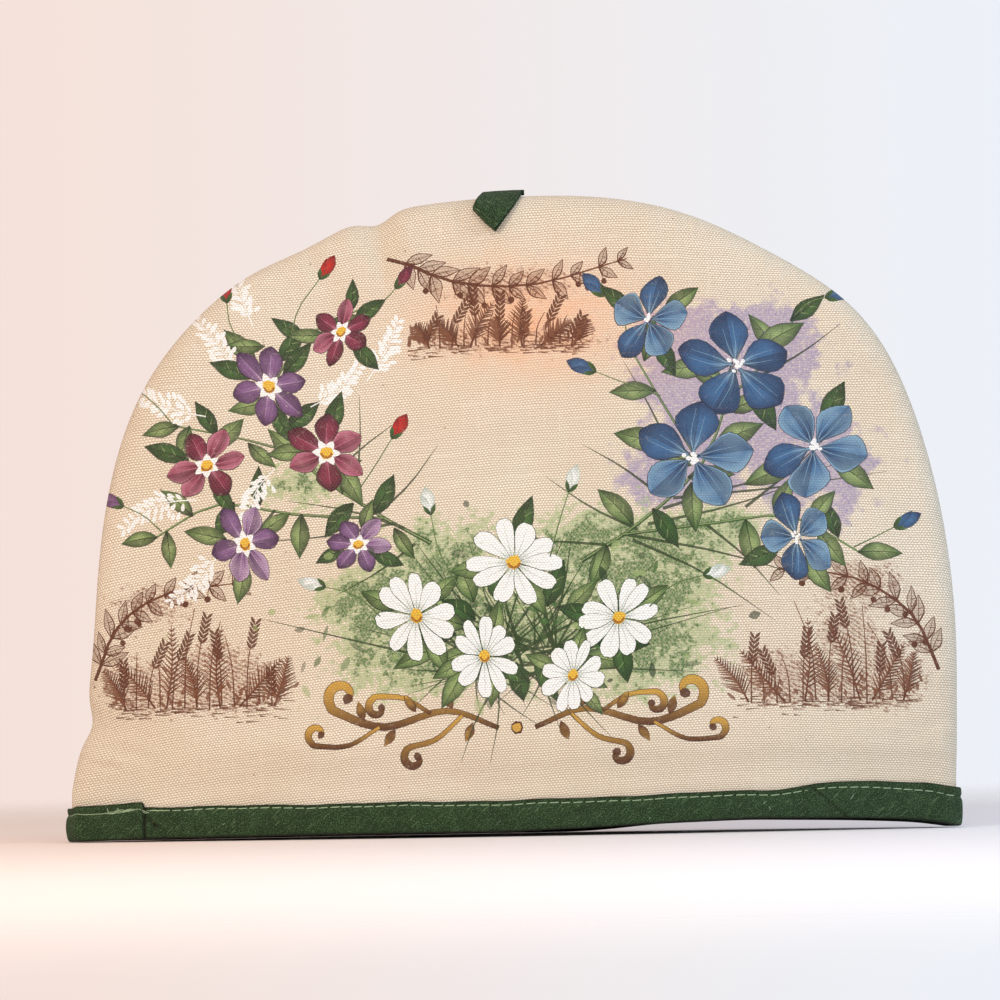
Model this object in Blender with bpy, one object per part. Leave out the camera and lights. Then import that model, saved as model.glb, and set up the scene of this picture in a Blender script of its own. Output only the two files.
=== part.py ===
"""A padded tea cosy: a printed front and a plain back sewn together along a domed seam, a bound hem
folded round both, and a hanging loop of the same binding caught in the top seam.

It stands on its hem, opened a little, as it does empty. Front faces -Y, +Z is up, and the origin is
on the surface it stands on, under the middle of the hem. Lengths are in metres.
"""

import math

import bmesh
import bpy
from mathutils import Vector

MM = 0.001

# The dome: a leaning superellipse, whose foot is the raw lower edge of the two panels.
HALF_WIDTH = 172 * MM
DOME_HEIGHT = 246.5 * MM
DOME_SQUARENESS = 2.8
DOME_OFFSET = 2.5 * MM
DOME_LEAN = 9 * MM
PANEL_FOOT = 1.5 * MM

# Each panel: lining, wadding and canvas as one wall, thin at the seam and where the binding grips it.
HOLLOW_SAG = 32 * MM
SEAM_GAP = 0.3 * MM
SEAM_EDGE = 1.5 * MM
PADDING = 6.5 * MM
HEM_PADDING = 3.5 * MM
PADDING_ROLL = 9 * MM
HEM_GRIP_HEIGHT = 17 * MM
HEM_SWELL_HEIGHT = 36 * MM

# Where the dome's seam runs outside (+) or inside (-) the plain curve, and the crease that it draws
# in the canvas there: angle round the dome and spread in degrees, the rest in millimetres.
SEAM_COLUMNS = ("angle", "out", "spread", "crease", "length")
SEAM_SHAPE = (
    (3.0, -1.0, 4.0, 0.0, 1.0),
    (10.0, -1.0, 6.0, 0.0, 1.0),
    (46.0, 2.2, 9.0, 0.0, 1.0),
    (58.8, -4.4, 12.0, 0.8, 30.0),
    (87.6, 1.5, 13.0, 0.0, 1.0),
    (109.8, -4.0, 2.3, 2.6, 22.0),
    (118.8, -3.4, 6.0, 1.2, 30.0),
    (142.2, 5.0, 11.0, 0.0, 1.0),
    (163.5, -2.6, 8.0, 1.0, 34.0),
    (169.6, -3.2, 1.8, 2.0, 26.0),
    (177.0, 3.0, 4.5, 0.0, 1.0),
)
SEAM_SHIFT_FADE = 8

# Soft hollows in the outer face of each wall: middle, half size and depth in millimetres.
DENT_COLUMNS = ("x", "z", "radius", "depth")
FRONT_DENTS = (
    (-60.0, 168.0, 46.0, 1.3),
    (18.0, 92.0, 60.0, 0.9),
    (104.0, 150.0, 44.0, 1.2),
    (-132.0, 84.0, 30.0, 1.2),
    (70.0, 40.0, 30.0, 0.8),
)
BACK_DENTS = (
    (50.0, 150.0, 50.0, 1.4),
    (-80.0, 96.0, 48.0, 1.2),
    (118.0, 70.0, 30.0, 1.0),
)

# The front of the hem is drawn up a little right of the middle.
HEM_LIFT = 2.4 * MM
HEM_LIFT_MIDDLE = 92 * MM
HEM_LIFT_SPREAD = 62 * MM
HEM_LIFT_FADE = 70 * MM

# The binding: a folded strip that grips both faces of the hem and closes over its raw edge.
BINDING_THICKNESS = 1.2 * MM
BINDING_CLEARANCE = 0.6 * MM
BINDING_HEIGHT_LEFT = 11.8 * MM
BINDING_HEIGHT_RIGHT = 15.4 * MM
BINDING_INSIDE_HEIGHT = 11.0 * MM
BINDING_FLOOR = 1.2 * MM
INSIDE_END = 162 * MM
LAP_END = -143 * MM
LAP_RISE = 1.6 * MM
LAP_STEP = 0.3 * MM

# The hanging loop: its two edges run from the seam down over the front, slanting to the left.
LOOP_LEFT_EDGE = (Vector((-6.6, 247.6)) * MM, Vector((-11.2, 241.2)) * MM)
LOOP_RIGHT_EDGE = (Vector((8.6, 247.8)) * MM, Vector((-2.7, 232.8)) * MM)
LOOP_LAYER = 1.1 * MM
LOOP_CLEARANCE = 0.5 * MM
LOOP_OPENING = 2.4 * MM
LOOP_COLUMNS = 4
LOOP_ROOT_BACK = 1.0 * MM

# Mesh density of a panel.
COLUMNS = 36
ROWS = 15
CORE_REACH = 0.8
SEAM_RINGS = (0.87, 0.92, 0.956, 0.98, 0.993, 1.0)

FRONT, BACK = -1, 1


def smooth_step(low, high, value):
    t = min(1.0, max(0.0, (value - low) / (high - low)))
    return t * t * (3 - 2 * t)


def named_rows(columns, rows):
    return [dict(zip(columns, row)) for row in rows]


def bell(distance, spread):
    return math.exp(-((distance / spread) ** 2))


def dome_ray(angle):
    """From the middle of the foot to the plain dome at this angle, in its upright frame."""
    across, up = math.cos(angle), math.sin(angle)
    n = DOME_SQUARENESS
    reach = (abs(across) ** n + abs(up) ** n) ** (-1 / n)
    return Vector((HALF_WIDTH * reach * across, DOME_HEIGHT * reach * up))


def dome_middle(height):
    """x of the dome's middle at this height over the foot. It leans from the binding up."""
    return DOME_OFFSET + DOME_LEAN * max(0.0, height - HEM_GRIP_HEIGHT) / DOME_HEIGHT


def dome_place(x, z):
    """(reach, angle) of a point of the flat dome: reach is 0 in the middle of its foot, 1 on the seam."""
    across = (x - dome_middle(z)) / HALF_WIDTH
    up = z / DOME_HEIGHT
    angle = math.atan2(up, across)
    ray = dome_ray(angle)
    return math.hypot(across, up) / math.hypot(ray.x / HALF_WIDTH, ray.y / DOME_HEIGHT), angle


def seam_shift(angle):
    """How far the seam stands out here. Inside the binding it runs straight up."""
    gripped = math.atan(HEM_GRIP_HEIGHT / DOME_HEIGHT)
    degrees = math.degrees(min(max(angle, gripped), math.pi - gripped))
    rows = named_rows(SEAM_COLUMNS, SEAM_SHAPE)
    return MM * sum(row["out"] * bell(degrees - row["angle"], row["spread"]) for row in rows)


def crease_depth(angle, from_seam):
    degrees = math.degrees(angle)
    return MM * sum(
        row["crease"]
        * bell(degrees - row["angle"], row["spread"])
        * bell(from_seam, row["length"] * MM)
        for row in named_rows(SEAM_COLUMNS, SEAM_SHAPE)
    )


def dent_depth(x, z, dents):
    return MM * sum(
        row["depth"] * bell(math.hypot(x - row["x"] * MM, z - row["z"] * MM), row["radius"] * MM)
        for row in named_rows(DENT_COLUMNS, dents)
    )


def hem_lift(x, y, z):
    """How far the hem is drawn up at this point: only in front, and less and less higher up."""
    in_front = smooth_step(0.0, -12 * MM, y)
    fade = max(0.0, 1 - z / HEM_LIFT_FADE)
    return HEM_LIFT * bell(x - HEM_LIFT_MIDDLE, HEM_LIFT_SPREAD) * in_front * fade * fade


def settled(point):
    return Vector((point.x, point.y, point.z + hem_lift(point.x, point.y, point.z)))


def flat_point(reach, angle):
    """(x, z) over the foot, with the seam's own unevenness near the edge."""
    ray = dome_ray(angle)
    shifted = ray * reach + ray.normalized() * seam_shift(angle) * reach**SEAM_SHIFT_FADE
    return Vector((shifted.x + dome_middle(shifted.y), shifted.y))


def lining_depth(reach):
    return SEAM_GAP / 2 + HOLLOW_SAG * (1 - reach * reach)


def canvas_depth(reach, angle, side):
    """Distance of the outer face from the middle plane."""
    ray = dome_ray(angle)
    from_seam = (1 - reach) * ray.length
    height = ray.y * reach
    inward = 1 - min(1.0, from_seam / PADDING_ROLL)
    roll = math.sqrt(1 - inward * inward)
    padding = HEM_PADDING + (PADDING - HEM_PADDING) * smooth_step(
        HEM_GRIP_HEIGHT, HEM_SWELL_HEIGHT, height
    )
    flat = flat_point(reach, angle)
    dents = dent_depth(flat.x, flat.y, FRONT_DENTS if side == FRONT else BACK_DENTS)
    dents *= smooth_step(HEM_GRIP_HEIGHT, HEM_SWELL_HEIGHT, height)
    crease = crease_depth(angle, from_seam) * smooth_step(HEM_GRIP_HEIGHT, HEM_SWELL_HEIGHT, height)
    return lining_depth(reach) + SEAM_EDGE + roll * (padding - dents - crease)


def canvas_point(reach, angle, side):
    flat = flat_point(reach, angle)
    return settled(
        Vector((flat.x, side * canvas_depth(reach, angle, side), PANEL_FOOT + flat.y))
    )


def lining_point(reach, angle, side):
    flat = flat_point(reach, angle)
    return settled(Vector((flat.x, side * lining_depth(reach), PANEL_FOOT + flat.y)))


def core_grid(reach):
    """Rows of (reach, angle) that fill the half dome out to this reach with even quads.

    A half square is pressed into the half disc. Its first row is level, just over the binding.
    """
    rows = []
    for row in range(ROWS + 1):
        line = []
        for column in range(COLUMNS + 1):
            u = 2 * column / COLUMNS - 1
            first = HEM_GRIP_HEIGHT / (DOME_HEIGHT * CORE_REACH * math.sqrt(1 - u * u / 2))
            v = 0 if row == 0 else first + (1 - first) * (row - 1) / (ROWS - 1)
            across = u * math.sqrt(1 - v * v / 2)
            up = v * math.sqrt(1 - u * u / 2)
            line.append((reach * math.hypot(across, up), math.atan2(up, across)))
        rows.append(line)
    return rows


def grid_border(rows):
    """The border of a core grid from the right end of the foot, over the top, to its left end."""
    right = [row[-1] for row in rows]
    top = rows[-1][-2:0:-1]
    left = [row[0] for row in reversed(rows)]
    return right + top + left


def quad_strip(bm, first, second):
    for a, b, c, d in zip(first, first[1:], second[1:], second):
        bm.faces.new((a, b, c, d))


def lace(bm, first, second):
    """Triangles between two rows of unlike counts that both run towards +X, taking the nearer next."""
    first, second = list(first), list(second)
    while len(first) > 1 or len(second) > 1:
        along_first = len(second) == 1 or (
            len(first) > 1 and first[1].co.x + first[0].co.x < second[1].co.x + second[0].co.x
        )
        ahead = first[1] if along_first else second[1]
        bm.faces.new((first[0], ahead, second[0]))
        (first if along_first else second).pop(0)


def build_panel(name, side, material):
    """Outer face, lining face, the narrow seam edge between them, and the foot."""
    bm = bmesh.new()
    outer = [
        [bm.verts.new(canvas_point(reach, angle, side)) for reach, angle in line]
        for line in core_grid(CORE_REACH)
    ]
    lining = [
        [bm.verts.new(lining_point(reach, angle, side)) for reach, angle in line]
        for line in core_grid(1.0)
    ]
    for rows in (outer, lining):
        for low, high in zip(rows, rows[1:]):
            quad_strip(bm, low, high)
    angles = [angle for _, angle in grid_border(core_grid(CORE_REACH))]
    rings = [grid_border(outer)]
    for reach in SEAM_RINGS:
        rings.append([bm.verts.new(canvas_point(reach, angle, side)) for angle in angles])
    for inner_ring, outer_ring in zip(rings, rings[1:]):
        quad_strip(bm, inner_ring, outer_ring)
    quad_strip(bm, rings[-1], grid_border(lining))
    right_foot = [ring[0] for ring in rings[1:]]
    left_foot = [ring[-1] for ring in rings[1:]]
    lace(bm, left_foot[::-1] + outer[0] + right_foot, lining[0])
    return finish_mesh(name, bm, material)


def foot_stations():
    """Signed reaches along the foot, left end to right end, where the binding has a section."""
    core = [CORE_REACH * (2 * column / COLUMNS - 1) for column in range(COLUMNS + 1)]
    rings = list(SEAM_RINGS)
    lap = (LAP_END - DOME_OFFSET) / HALF_WIDTH
    step = LAP_STEP / HALF_WIDTH
    return sorted([-reach for reach in rings] + [lap - step, lap] + core + rings)


def foot_wall(station, side):
    """The outer face of a panel at its foot, in plan."""
    angle = math.pi if station < 0 else 0.0
    flat = flat_point(abs(station), angle)
    return Vector((flat.x, side * canvas_depth(abs(station), angle, side)))


def binding_height(x):
    share = (x + HALF_WIDTH) / (2 * HALF_WIDTH)
    return BINDING_HEIGHT_LEFT + (BINDING_HEIGHT_RIGHT - BINDING_HEIGHT_LEFT) * share


def outward_normals(path):
    """Unit normals of a closed plan path that runs counter-clockwise seen from above."""
    count = len(path)
    normals = []
    for index in range(count):
        along = path[(index + 1) % count] - path[index - 1]
        normals.append(Vector((along.y, -along.x)).normalized())
    return normals


def inside_wall(station, side, thickness):
    """The binding's inner leg in plan: it follows the lining, and closes before the hollow's corner."""
    x = station * (INSIDE_END - thickness)
    depth = lining_depth(abs(x) / HALF_WIDTH) - BINDING_CLEARANCE - thickness
    return Vector((x + DOME_OFFSET, side * depth))


def build_binding(name, material):
    """A ring of U-shaped sections: outer leg, floor and inner leg."""
    stations = foot_stations()
    stops = [(station, FRONT) for station in stations]
    stops += [(station, BACK) for station in reversed(stations)]
    path = [foot_wall(station, side) for station, side in stops]
    normals = outward_normals(path)
    bm = bmesh.new()
    sections = []
    for (station, side), wall, normal in zip(stops, path, normals):
        lapped = side == FRONT and wall.x < LAP_END - LAP_STEP / 2
        thickness = BINDING_THICKNESS * (2 if lapped else 1)
        height = binding_height(wall.x) + (LAP_RISE if lapped else 0)
        slot = wall + normal * BINDING_CLEARANCE
        face = wall + normal * (BINDING_CLEARANCE + thickness)
        leg = inside_wall(station, side, 0.0)
        inside = inside_wall(station, side, BINDING_THICKNESS)
        corners = (
            (face, 0.0),
            (face, height),
            (slot, height),
            (slot, BINDING_FLOOR),
            (leg, BINDING_FLOOR),
            (leg, BINDING_INSIDE_HEIGHT),
            (inside, BINDING_INSIDE_HEIGHT),
            (inside, 0.0),
        )
        sections.append(
            [bm.verts.new(settled(Vector((at.x, at.y, z)))) for at, z in corners]
        )
    for first, second in zip(sections, sections[1:] + sections[:1]):
        quad_strip(bm, first + first[:1], second + second[:1])
    return finish_mesh(name, bm, material)


def front_frame(flat):
    """A point of the front's outer face and the way out from it, from a point of the flat dome."""
    reach, angle = dome_place(flat.x, flat.y)
    reach = min(reach, 1.0)
    point = canvas_point(reach, angle, FRONT)
    nearby = 0.0015
    along = canvas_point(reach, angle + nearby, FRONT) - canvas_point(reach, angle - nearby, FRONT)
    inwards = canvas_point(reach - nearby, angle, FRONT) - point
    return point, along.cross(inwards).normalized()


def loop_column(bm, start, end):
    """One line of sections along the loop, from behind the seam to the fold.

    A section has its heights over the canvas: under side, both sides of the slit where it is
    open, and upper side.
    """
    along_edge = (0.0, 0.04, 0.1, 0.19, 0.3, 0.45, 0.62, 0.8, 0.94, 1.0)
    open_share = (0.0, 0.0, 0.0, 0.0, 0.15, 0.4, 0.7, 0.95, 1.0, 0.8)
    tip = len(along_edge) - 1
    root, _ = front_frame(start)
    behind = Vector((root.x, LOOP_ROOT_BACK, root.z + LOOP_CLEARANCE))
    sections = [[behind, behind + Vector((0, 0, 2 * LOOP_LAYER))]]
    for index, (share, opened) in enumerate(zip(along_edge, open_share)):
        point, outward = front_frame(start.lerp(end, share))
        slit = LOOP_OPENING * opened
        low = LOOP_CLEARANCE
        high = low + 2 * LOOP_LAYER + slit
        heights = [low, high]
        if slit > 0 and index < tip:
            heights = [low, low + LOOP_LAYER, high - LOOP_LAYER, high]
        sections.append([point + outward * height for height in heights])
    return [[bm.verts.new(at) for at in section] for section in sections]


def close_side(bm, column):
    """The cut side of the loop, round its slit."""
    for near, far in zip(column, column[1:]):
        if len(near) == len(far) == 4:
            bm.faces.new((near[0], far[0], far[1], near[1]))
            bm.faces.new((near[2], far[2], far[3], near[3]))
        else:
            bm.faces.new(near[:1] + far + near[:0:-1])


def build_loop(name, material):
    """Two layers of folded binding over the front, joined over the seam and open towards the fold."""
    bm = bmesh.new()
    columns = []
    for index in range(LOOP_COLUMNS + 1):
        share = index / LOOP_COLUMNS
        start = LOOP_LEFT_EDGE[0].lerp(LOOP_RIGHT_EDGE[0], share)
        end = LOOP_LEFT_EDGE[1].lerp(LOOP_RIGHT_EDGE[1], share)
        columns.append(loop_column(bm, start, end))
    for left, right in zip(columns, columns[1:]):
        slit = [index for index, section in enumerate(left) if len(section) == 4]
        for pick in (0, -1):
            quad_strip(bm, [s[pick] for s in left], [s[pick] for s in right])
        for pick in (1, 2):
            quad_strip(bm, [left[i][pick] for i in slit], [right[i][pick] for i in slit])
        for index, low, high in ((0, 0, 1), (-1, 0, 1), (slit[0], 1, 2), (slit[-1], 1, 2)):
            near, far = left[index], right[index]
            bm.faces.new((near[low], near[high], far[high], far[low]))
    close_side(bm, columns[0])
    close_side(bm, columns[-1])
    return finish_mesh(name, bm, material)


def finish_mesh(name, bm, material):
    bmesh.ops.recalc_face_normals(bm, faces=bm.faces)
    mesh = bpy.data.meshes.new(name)
    bm.to_mesh(mesh)
    bm.free()
    mesh.shade_smooth()
    mesh.set_sharp_from_angle(angle=math.radians(40))
    mesh.materials.append(material)
    piece = bpy.data.objects.new(name, mesh)
    bpy.context.scene.collection.objects.link(piece)
    return piece


def cloth_material(name, colour):
    material = bpy.data.materials.new(name)
    material.use_nodes = True
    shader = material.node_tree.nodes["Principled BSDF"]
    shader.inputs["Base Color"].default_value = (*colour, 1)
    shader.inputs["Roughness"].default_value = 0.9
    shader.inputs["Metallic"].default_value = 0.0
    return material


def main():
    for old in list(bpy.data.objects):
        bpy.data.objects.remove(old)
    printed = cloth_material("printed_canvas", (0.74, 0.62, 0.44))
    plain = cloth_material("plain_canvas", (0.76, 0.65, 0.48))
    green = cloth_material("green_binding", (0.022, 0.066, 0.026))
    build_panel("front_panel", FRONT, printed)
    build_panel("back_panel", BACK, plain)
    build_binding("hem_binding", green)
    build_loop("hanging_loop", green)


if __name__ == "__main__":
    main()
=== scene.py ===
"""The padded tea cosy as it is seen: a printed canvas front, a plain canvas back, a green binding
round the hem with its lap, join and topstitching, and the hanging loop in the top seam.

Shapes are worked out in millimetres and made into meshes in metres. X runs along the hem, -Y out of
the printed front, and Z up. A point of a panel is known by its flat place (x, z) over the foot, or
by its reach (0 in the middle of the foot, 1 on the seam) and its angle round the dome.
"""

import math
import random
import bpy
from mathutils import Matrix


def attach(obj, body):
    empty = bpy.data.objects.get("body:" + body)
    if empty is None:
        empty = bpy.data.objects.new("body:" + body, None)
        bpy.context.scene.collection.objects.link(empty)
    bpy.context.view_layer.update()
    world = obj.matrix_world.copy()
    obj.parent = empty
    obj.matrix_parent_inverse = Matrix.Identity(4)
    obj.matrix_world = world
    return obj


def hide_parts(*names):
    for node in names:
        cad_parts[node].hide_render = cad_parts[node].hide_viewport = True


bl_info = {
    "name": "Padded Tea Cosy", "version": (1, 0, 0), "blender": (4, 5, 0),
    "location": "View3D > Sidebar > Tea Cosy",
    "description": "Builds a padded tea cosy with a printed front, a bound hem and a hanging loop",
    "category": "Add Mesh",
}

import bpy
import numpy as np
from bpy.props import FloatProperty, FloatVectorProperty, PointerProperty
from mathutils import Quaternion, Vector
from mathutils.geometry import delaunay_2d_cdt

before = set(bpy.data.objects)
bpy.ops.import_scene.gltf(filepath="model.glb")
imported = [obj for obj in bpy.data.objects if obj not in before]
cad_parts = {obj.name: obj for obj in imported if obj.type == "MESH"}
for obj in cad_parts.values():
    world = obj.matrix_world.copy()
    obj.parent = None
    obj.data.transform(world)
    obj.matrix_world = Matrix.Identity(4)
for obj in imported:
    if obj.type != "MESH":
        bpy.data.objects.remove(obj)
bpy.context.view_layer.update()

MM = 0.001
FRONT, BACK = -1, 1

# The dome and the two padded walls, as the solids have them but for the hem's lift.
HALF_WIDTH = 172.0
DOME_HEIGHT = 246.5
DOME_SQUARENESS = 2.8
DOME_OFFSET = 2.5
DOME_LEAN = 9.0
PANEL_FOOT = 1.5
HOLLOW_SAG = 32.0
SEAM_GAP = 0.3
SEAM_EDGE = 1.5
PADDING = 6.5
HEM_PADDING = 3.5
PADDING_ROLL = 9.0
HEM_GRIP_HEIGHT = 17.0
HEM_SWELL_HEIGHT = 36.0
SEAM_SHIFT_FADE = 8
HEM_LIFT_FADE = 70.0
# Along the front of the hem: x, and how far it is drawn up there.
HEM_LIFT = (
    (-174, 0), (-160, 0.3), (-143, 0.9), (-118, 1.2), (-90, 1.5), (-50, 1.7), (0, 1.7), (30, 2.7), (60, 4.1),
    (92, 5.1), (132, 4.4), (154, 3.5), (166, 2.3), (174, 0.2),
)

# Behind, the hem is drawn up on the right alone, between these, by what goes beyond the middle's.
HEM_LIFT_MIDDLE = 1.4
HEM_LIFT_BEHIND = (15.0, 60.0)

# Angle round the dome, outward shift, spread, crease depth and crease length.
SEAM_SHAPE = (
    (3, -1, 4, 0, 1), (10, -1, 6, 0, 1), (46, 2.2, 9, 0, 1), (58.8, -4.4, 12, 0.8, 30), (87.6, 1.5, 13, 0, 1),
    (109.8, -4, 2.3, 2.6, 22), (118.8, -3.4, 6, 1.2, 30), (142.2, 5, 11, 0, 1), (163.5, -2.6, 8, 1, 34),
    (169.6, -3.2, 1.8, 2, 26), (177, 3, 4.5, 0, 1),
)
# Middle x and z, half size and depth of the soft hollows.
FRONT_DENTS = (
    (-60, 168, 46, 1.3), (18, 92, 60, 0.9), (104, 150, 44, 1.2), (-132, 84, 30, 1.2), (70, 40, 30, 0.8),
)
BACK_DENTS = ((50, 150, 50, 1.4), (-80, 96, 48, 1.2), (118, 70, 30, 1))

# The binding: its slot as the solids have it, its height as the cloth shows it.
BINDING_THICKNESS = 1.2
BINDING_CLEARANCE = 0.6
BINDING_HEIGHT = 12.6
BINDING_HEIGHT_RIGHT = 15.9
BINDING_WIDENS = (97.0, 127.0)
BINDING_INSIDE_HEIGHT = 11.0
BINDING_FLOOR = 1.2
INSIDE_END = 162.0
LAP_END = -143.0
LAP_START = -171.0
# The topstitching's start and end, with one row over the other between them.
STITCH_START = -158.0
STITCH_END = -142.8

# The hanging loop, as the solids have it.
LOOP_LEFT_EDGE = ((-6.6, 247.6), (-11.2, 241.2))
LOOP_RIGHT_EDGE = ((8.6, 247.8), (-2.7, 232.8))
LOOP_LAYER = 1.1
LOOP_CLEARANCE = 0.5
LOOP_OPENING = 2.4
LOOP_ROOT_BACK = 1.0
LOOP_WIDTH = 12.5

# How the level threads of the canvas rise to the right in the middle, and how that changes with x.
THREAD_TILT = 0.065
THREAD_BOW = 0.00034

# Insets from the seam at which a panel has a ring of points, close together where it rolls over.
RING_INSETS = (0.0, 0.05, 0.2, 0.45, 0.8, 1.25, 1.8, 2.5, 3.3, 4.3, 5.6, 7.2, 9.0)
# Up to this inset the canvas has points as close as its spacing, further in they lie wider apart.
FINE_BAND = 26.0
COARSER = 1.8
LINING_SPACING = 5.0


# --- Curves and surfaces ---


def smooth_step(low, high, value):
    t = np.clip((value - low) / (high - low), 0, 1)
    return t * t * (3 - 2 * t)


def bell(distance, spread):
    return np.exp(-((distance / spread) ** 2))


def unit(vectors):
    return vectors / np.maximum(np.linalg.norm(vectors, axis=-1, keepdims=True), 1e-9)


def running_length(steps):
    """Length so far at each point of a line, from the lengths of its steps."""
    return np.concatenate(([0.0], np.cumsum(steps)))


def step_lengths(points):
    return np.linalg.norm(np.diff(points, axis=0), axis=1)


def dome_ray(angle):
    """x and z from the middle of the foot to the plain dome at this angle."""
    across, up = np.cos(angle), np.sin(angle)
    n = DOME_SQUARENESS
    reach = (np.abs(across) ** n + np.abs(up) ** n) ** (-1 / n)
    return HALF_WIDTH * reach * across, DOME_HEIGHT * reach * up


def dome_middle(height):
    return DOME_OFFSET + DOME_LEAN * np.maximum(0, height - HEM_GRIP_HEIGHT) / DOME_HEIGHT


def dome_place(x, z):
    """Reach and angle of flat points."""
    across = (x - dome_middle(z)) / HALF_WIDTH
    up = z / DOME_HEIGHT
    angle = np.arctan2(up, across)
    ray_x, ray_z = dome_ray(angle)
    full = np.hypot(ray_x / HALF_WIDTH, ray_z / DOME_HEIGHT)
    return np.minimum(np.hypot(across, up) / full, 1), angle


def plain_point(reach, angle):
    """Flat points without the seam's own unevenness. dome_place turns them back."""
    ray_x, ray_z = dome_ray(angle)
    height = ray_z * reach
    return ray_x * reach + dome_middle(height), height


def seam_shift(angle):
    gripped = math.atan(HEM_GRIP_HEIGHT / DOME_HEIGHT)
    degrees = np.degrees(np.clip(angle, gripped, math.pi - gripped))
    return sum(out * bell(degrees - middle, spread) for middle, out, spread, _, _ in SEAM_SHAPE)


def crease_depth(angle, from_seam):
    degrees = np.degrees(angle)
    return sum(
        crease * bell(degrees - middle, spread) * bell(from_seam, length)
        for middle, _, spread, crease, length in SEAM_SHAPE
    )


def dent_depth(x, z, dents):
    return sum(
        depth * bell(np.hypot(x - middle_x, z - middle_z), radius)
        for middle_x, middle_z, radius, depth in dents
    )


def hem_lift(x, y, z):
    in_front = smooth_step(12, -12, y)
    fade = np.maximum(0, 1 - z / HEM_LIFT_FADE)
    places, lifts = zip(*HEM_LIFT)
    spread = (-6.0, -3.0, 0.0, 3.0, 6.0)
    lift = sum(np.interp(x + off, places, lifts) for off in spread) / len(spread)
    behind = np.maximum(0, lift - HEM_LIFT_MIDDLE) * smooth_step(*HEM_LIFT_BEHIND, x)
    return (lift * in_front + behind * (1 - in_front)) * fade * fade


def settled(x, y, z):
    """Points as they stand, with the hem drawn up in front and, on the right, behind."""
    return np.stack((x, y, z + hem_lift(x, y, z)), axis=-1)


def flat_point(reach, angle):
    ray_x, ray_z = dome_ray(angle)
    length = np.hypot(ray_x, ray_z)
    factor = reach + seam_shift(angle) * reach**SEAM_SHIFT_FADE / length
    height = ray_z * factor
    return ray_x * factor + dome_middle(height), height


def lining_depth(reach):
    return SEAM_GAP / 2 + HOLLOW_SAG * (1 - reach * reach)


def seam_puckers(side):
    """Small gathers that run in from the seam: angle, spread along the seam, depth, length, slant."""
    chance = random.Random(41 if side == FRONT else 67)
    puckers = []
    degrees = 9.0
    while degrees < 172.0:
        near_notch = min(abs(degrees - 110), abs(degrees - 169)) < 9
        depth = chance.uniform(0.12, 0.42) * (1.7 if near_notch else 1.0)
        puckers.append(
            (degrees, chance.uniform(0.35, 0.8), depth, chance.uniform(5, 15), chance.uniform(-0.3, 0.3))
        )
        degrees += chance.uniform(1.6, 4.6)
    return puckers


def pucker_depth(angle, from_seam, side):
    degrees = np.degrees(angle)
    total = np.zeros_like(degrees)
    for middle, spread, depth, length, slant in seam_puckers(side):
        off = degrees - middle - slant * from_seam / 4
        gather = bell(off, spread) - 0.45 * bell(off - 2 * spread, 1.3 * spread)
        total += depth * gather * bell(from_seam, length)
    return total * smooth_step(0, 2, from_seam)


def soft_waves(x, z, side):
    """Slow unevenness of the wadding."""
    turn = 0.0 if side == FRONT else 2.1
    total = np.zeros_like(x)
    for number, (length, height) in enumerate(((61, 0.3), (43, 0.22), (29, 0.13), (19, 0.07))):
        across_wave, up_wave = math.cos(turn + 1.9 * number), math.sin(turn + 1.9 * number)
        along = x * across_wave + z * up_wave
        across = -x * up_wave + z * across_wave
        swell = np.sin(along * 2 * math.pi / length + number)
        total += height * swell * np.cos(across * 2 * math.pi / (1.7 * length) + 2.3 * number)
    return total


# Folds of the front: start and end in x and z, half width and depth. The canvas sags from the left
# notch to the hem, and is drawn a little where the loop and the upper notch hold it.
FRONT_FOLDS = (
    (-170, 35, -136, 27, 2.6, 0.9), (-168, 29, -146, 22, 1.8, 0.7), (-166, 45, -139, 62, 3.6, 0.8),
    (-52, 232, -47, 206, 3.2, 0.9), (-38, 236, -34, 212, 4, -0.5), (-75, 224, -66, 205, 4.5, 0.5),
    (-6, 240, -14, 216, 4.5, 0.5), (10, 240, 20, 220, 4.5, 0.4), (168, 40, 148, 33, 3, 0.5),
    (120, 196, 104, 184, 5, 0.5),
)


def fold_depth(x, z, folds):
    total = np.zeros_like(x)
    for start_x, start_z, end_x, end_z, half_width, depth in folds:
        length = math.hypot(end_x - start_x, end_z - start_z)
        across, up = (end_x - start_x) / length, (end_z - start_z) / length
        share = ((x - start_x) * across + (z - start_z) * up) / length
        off = (z - start_z) * across - (x - start_x) * up
        off = off - 0.08 * length * np.sin(math.pi * np.clip(share, 0, 1))
        fade = smooth_step(-0.25, 0.15, share) * smooth_step(1.2, 0.5, share)
        beside = 0.35 * bell(off - 2.2 * half_width, 1.6 * half_width)
        total += depth * fade * (bell(off, half_width) - beside)
    return total


def canvas_depth(reach, angle, side):
    """Distance of the outer face from the middle plane."""
    ray_x, ray_z = dome_ray(angle)
    from_seam = (1 - reach) * np.hypot(ray_x, ray_z)
    inward = 1 - np.minimum(1, from_seam / PADDING_ROLL)
    roll = np.sqrt(np.maximum(0, 1 - inward * inward))
    above_hem = smooth_step(HEM_GRIP_HEIGHT, HEM_SWELL_HEIGHT, ray_z * reach)
    padding = HEM_PADDING + (PADDING - HEM_PADDING) * above_hem
    x, z = flat_point(reach, angle)
    hollow = dent_depth(x, z, FRONT_DENTS if side == FRONT else BACK_DENTS)
    hollow = hollow + crease_depth(angle, from_seam) + pucker_depth(angle, from_seam, side)
    hollow = hollow - soft_waves(x, z, side)
    if side == FRONT:
        hollow = hollow + fold_depth(x, z, FRONT_FOLDS)
    return lining_depth(reach) + SEAM_EDGE + roll * (padding - hollow * above_hem)


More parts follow.
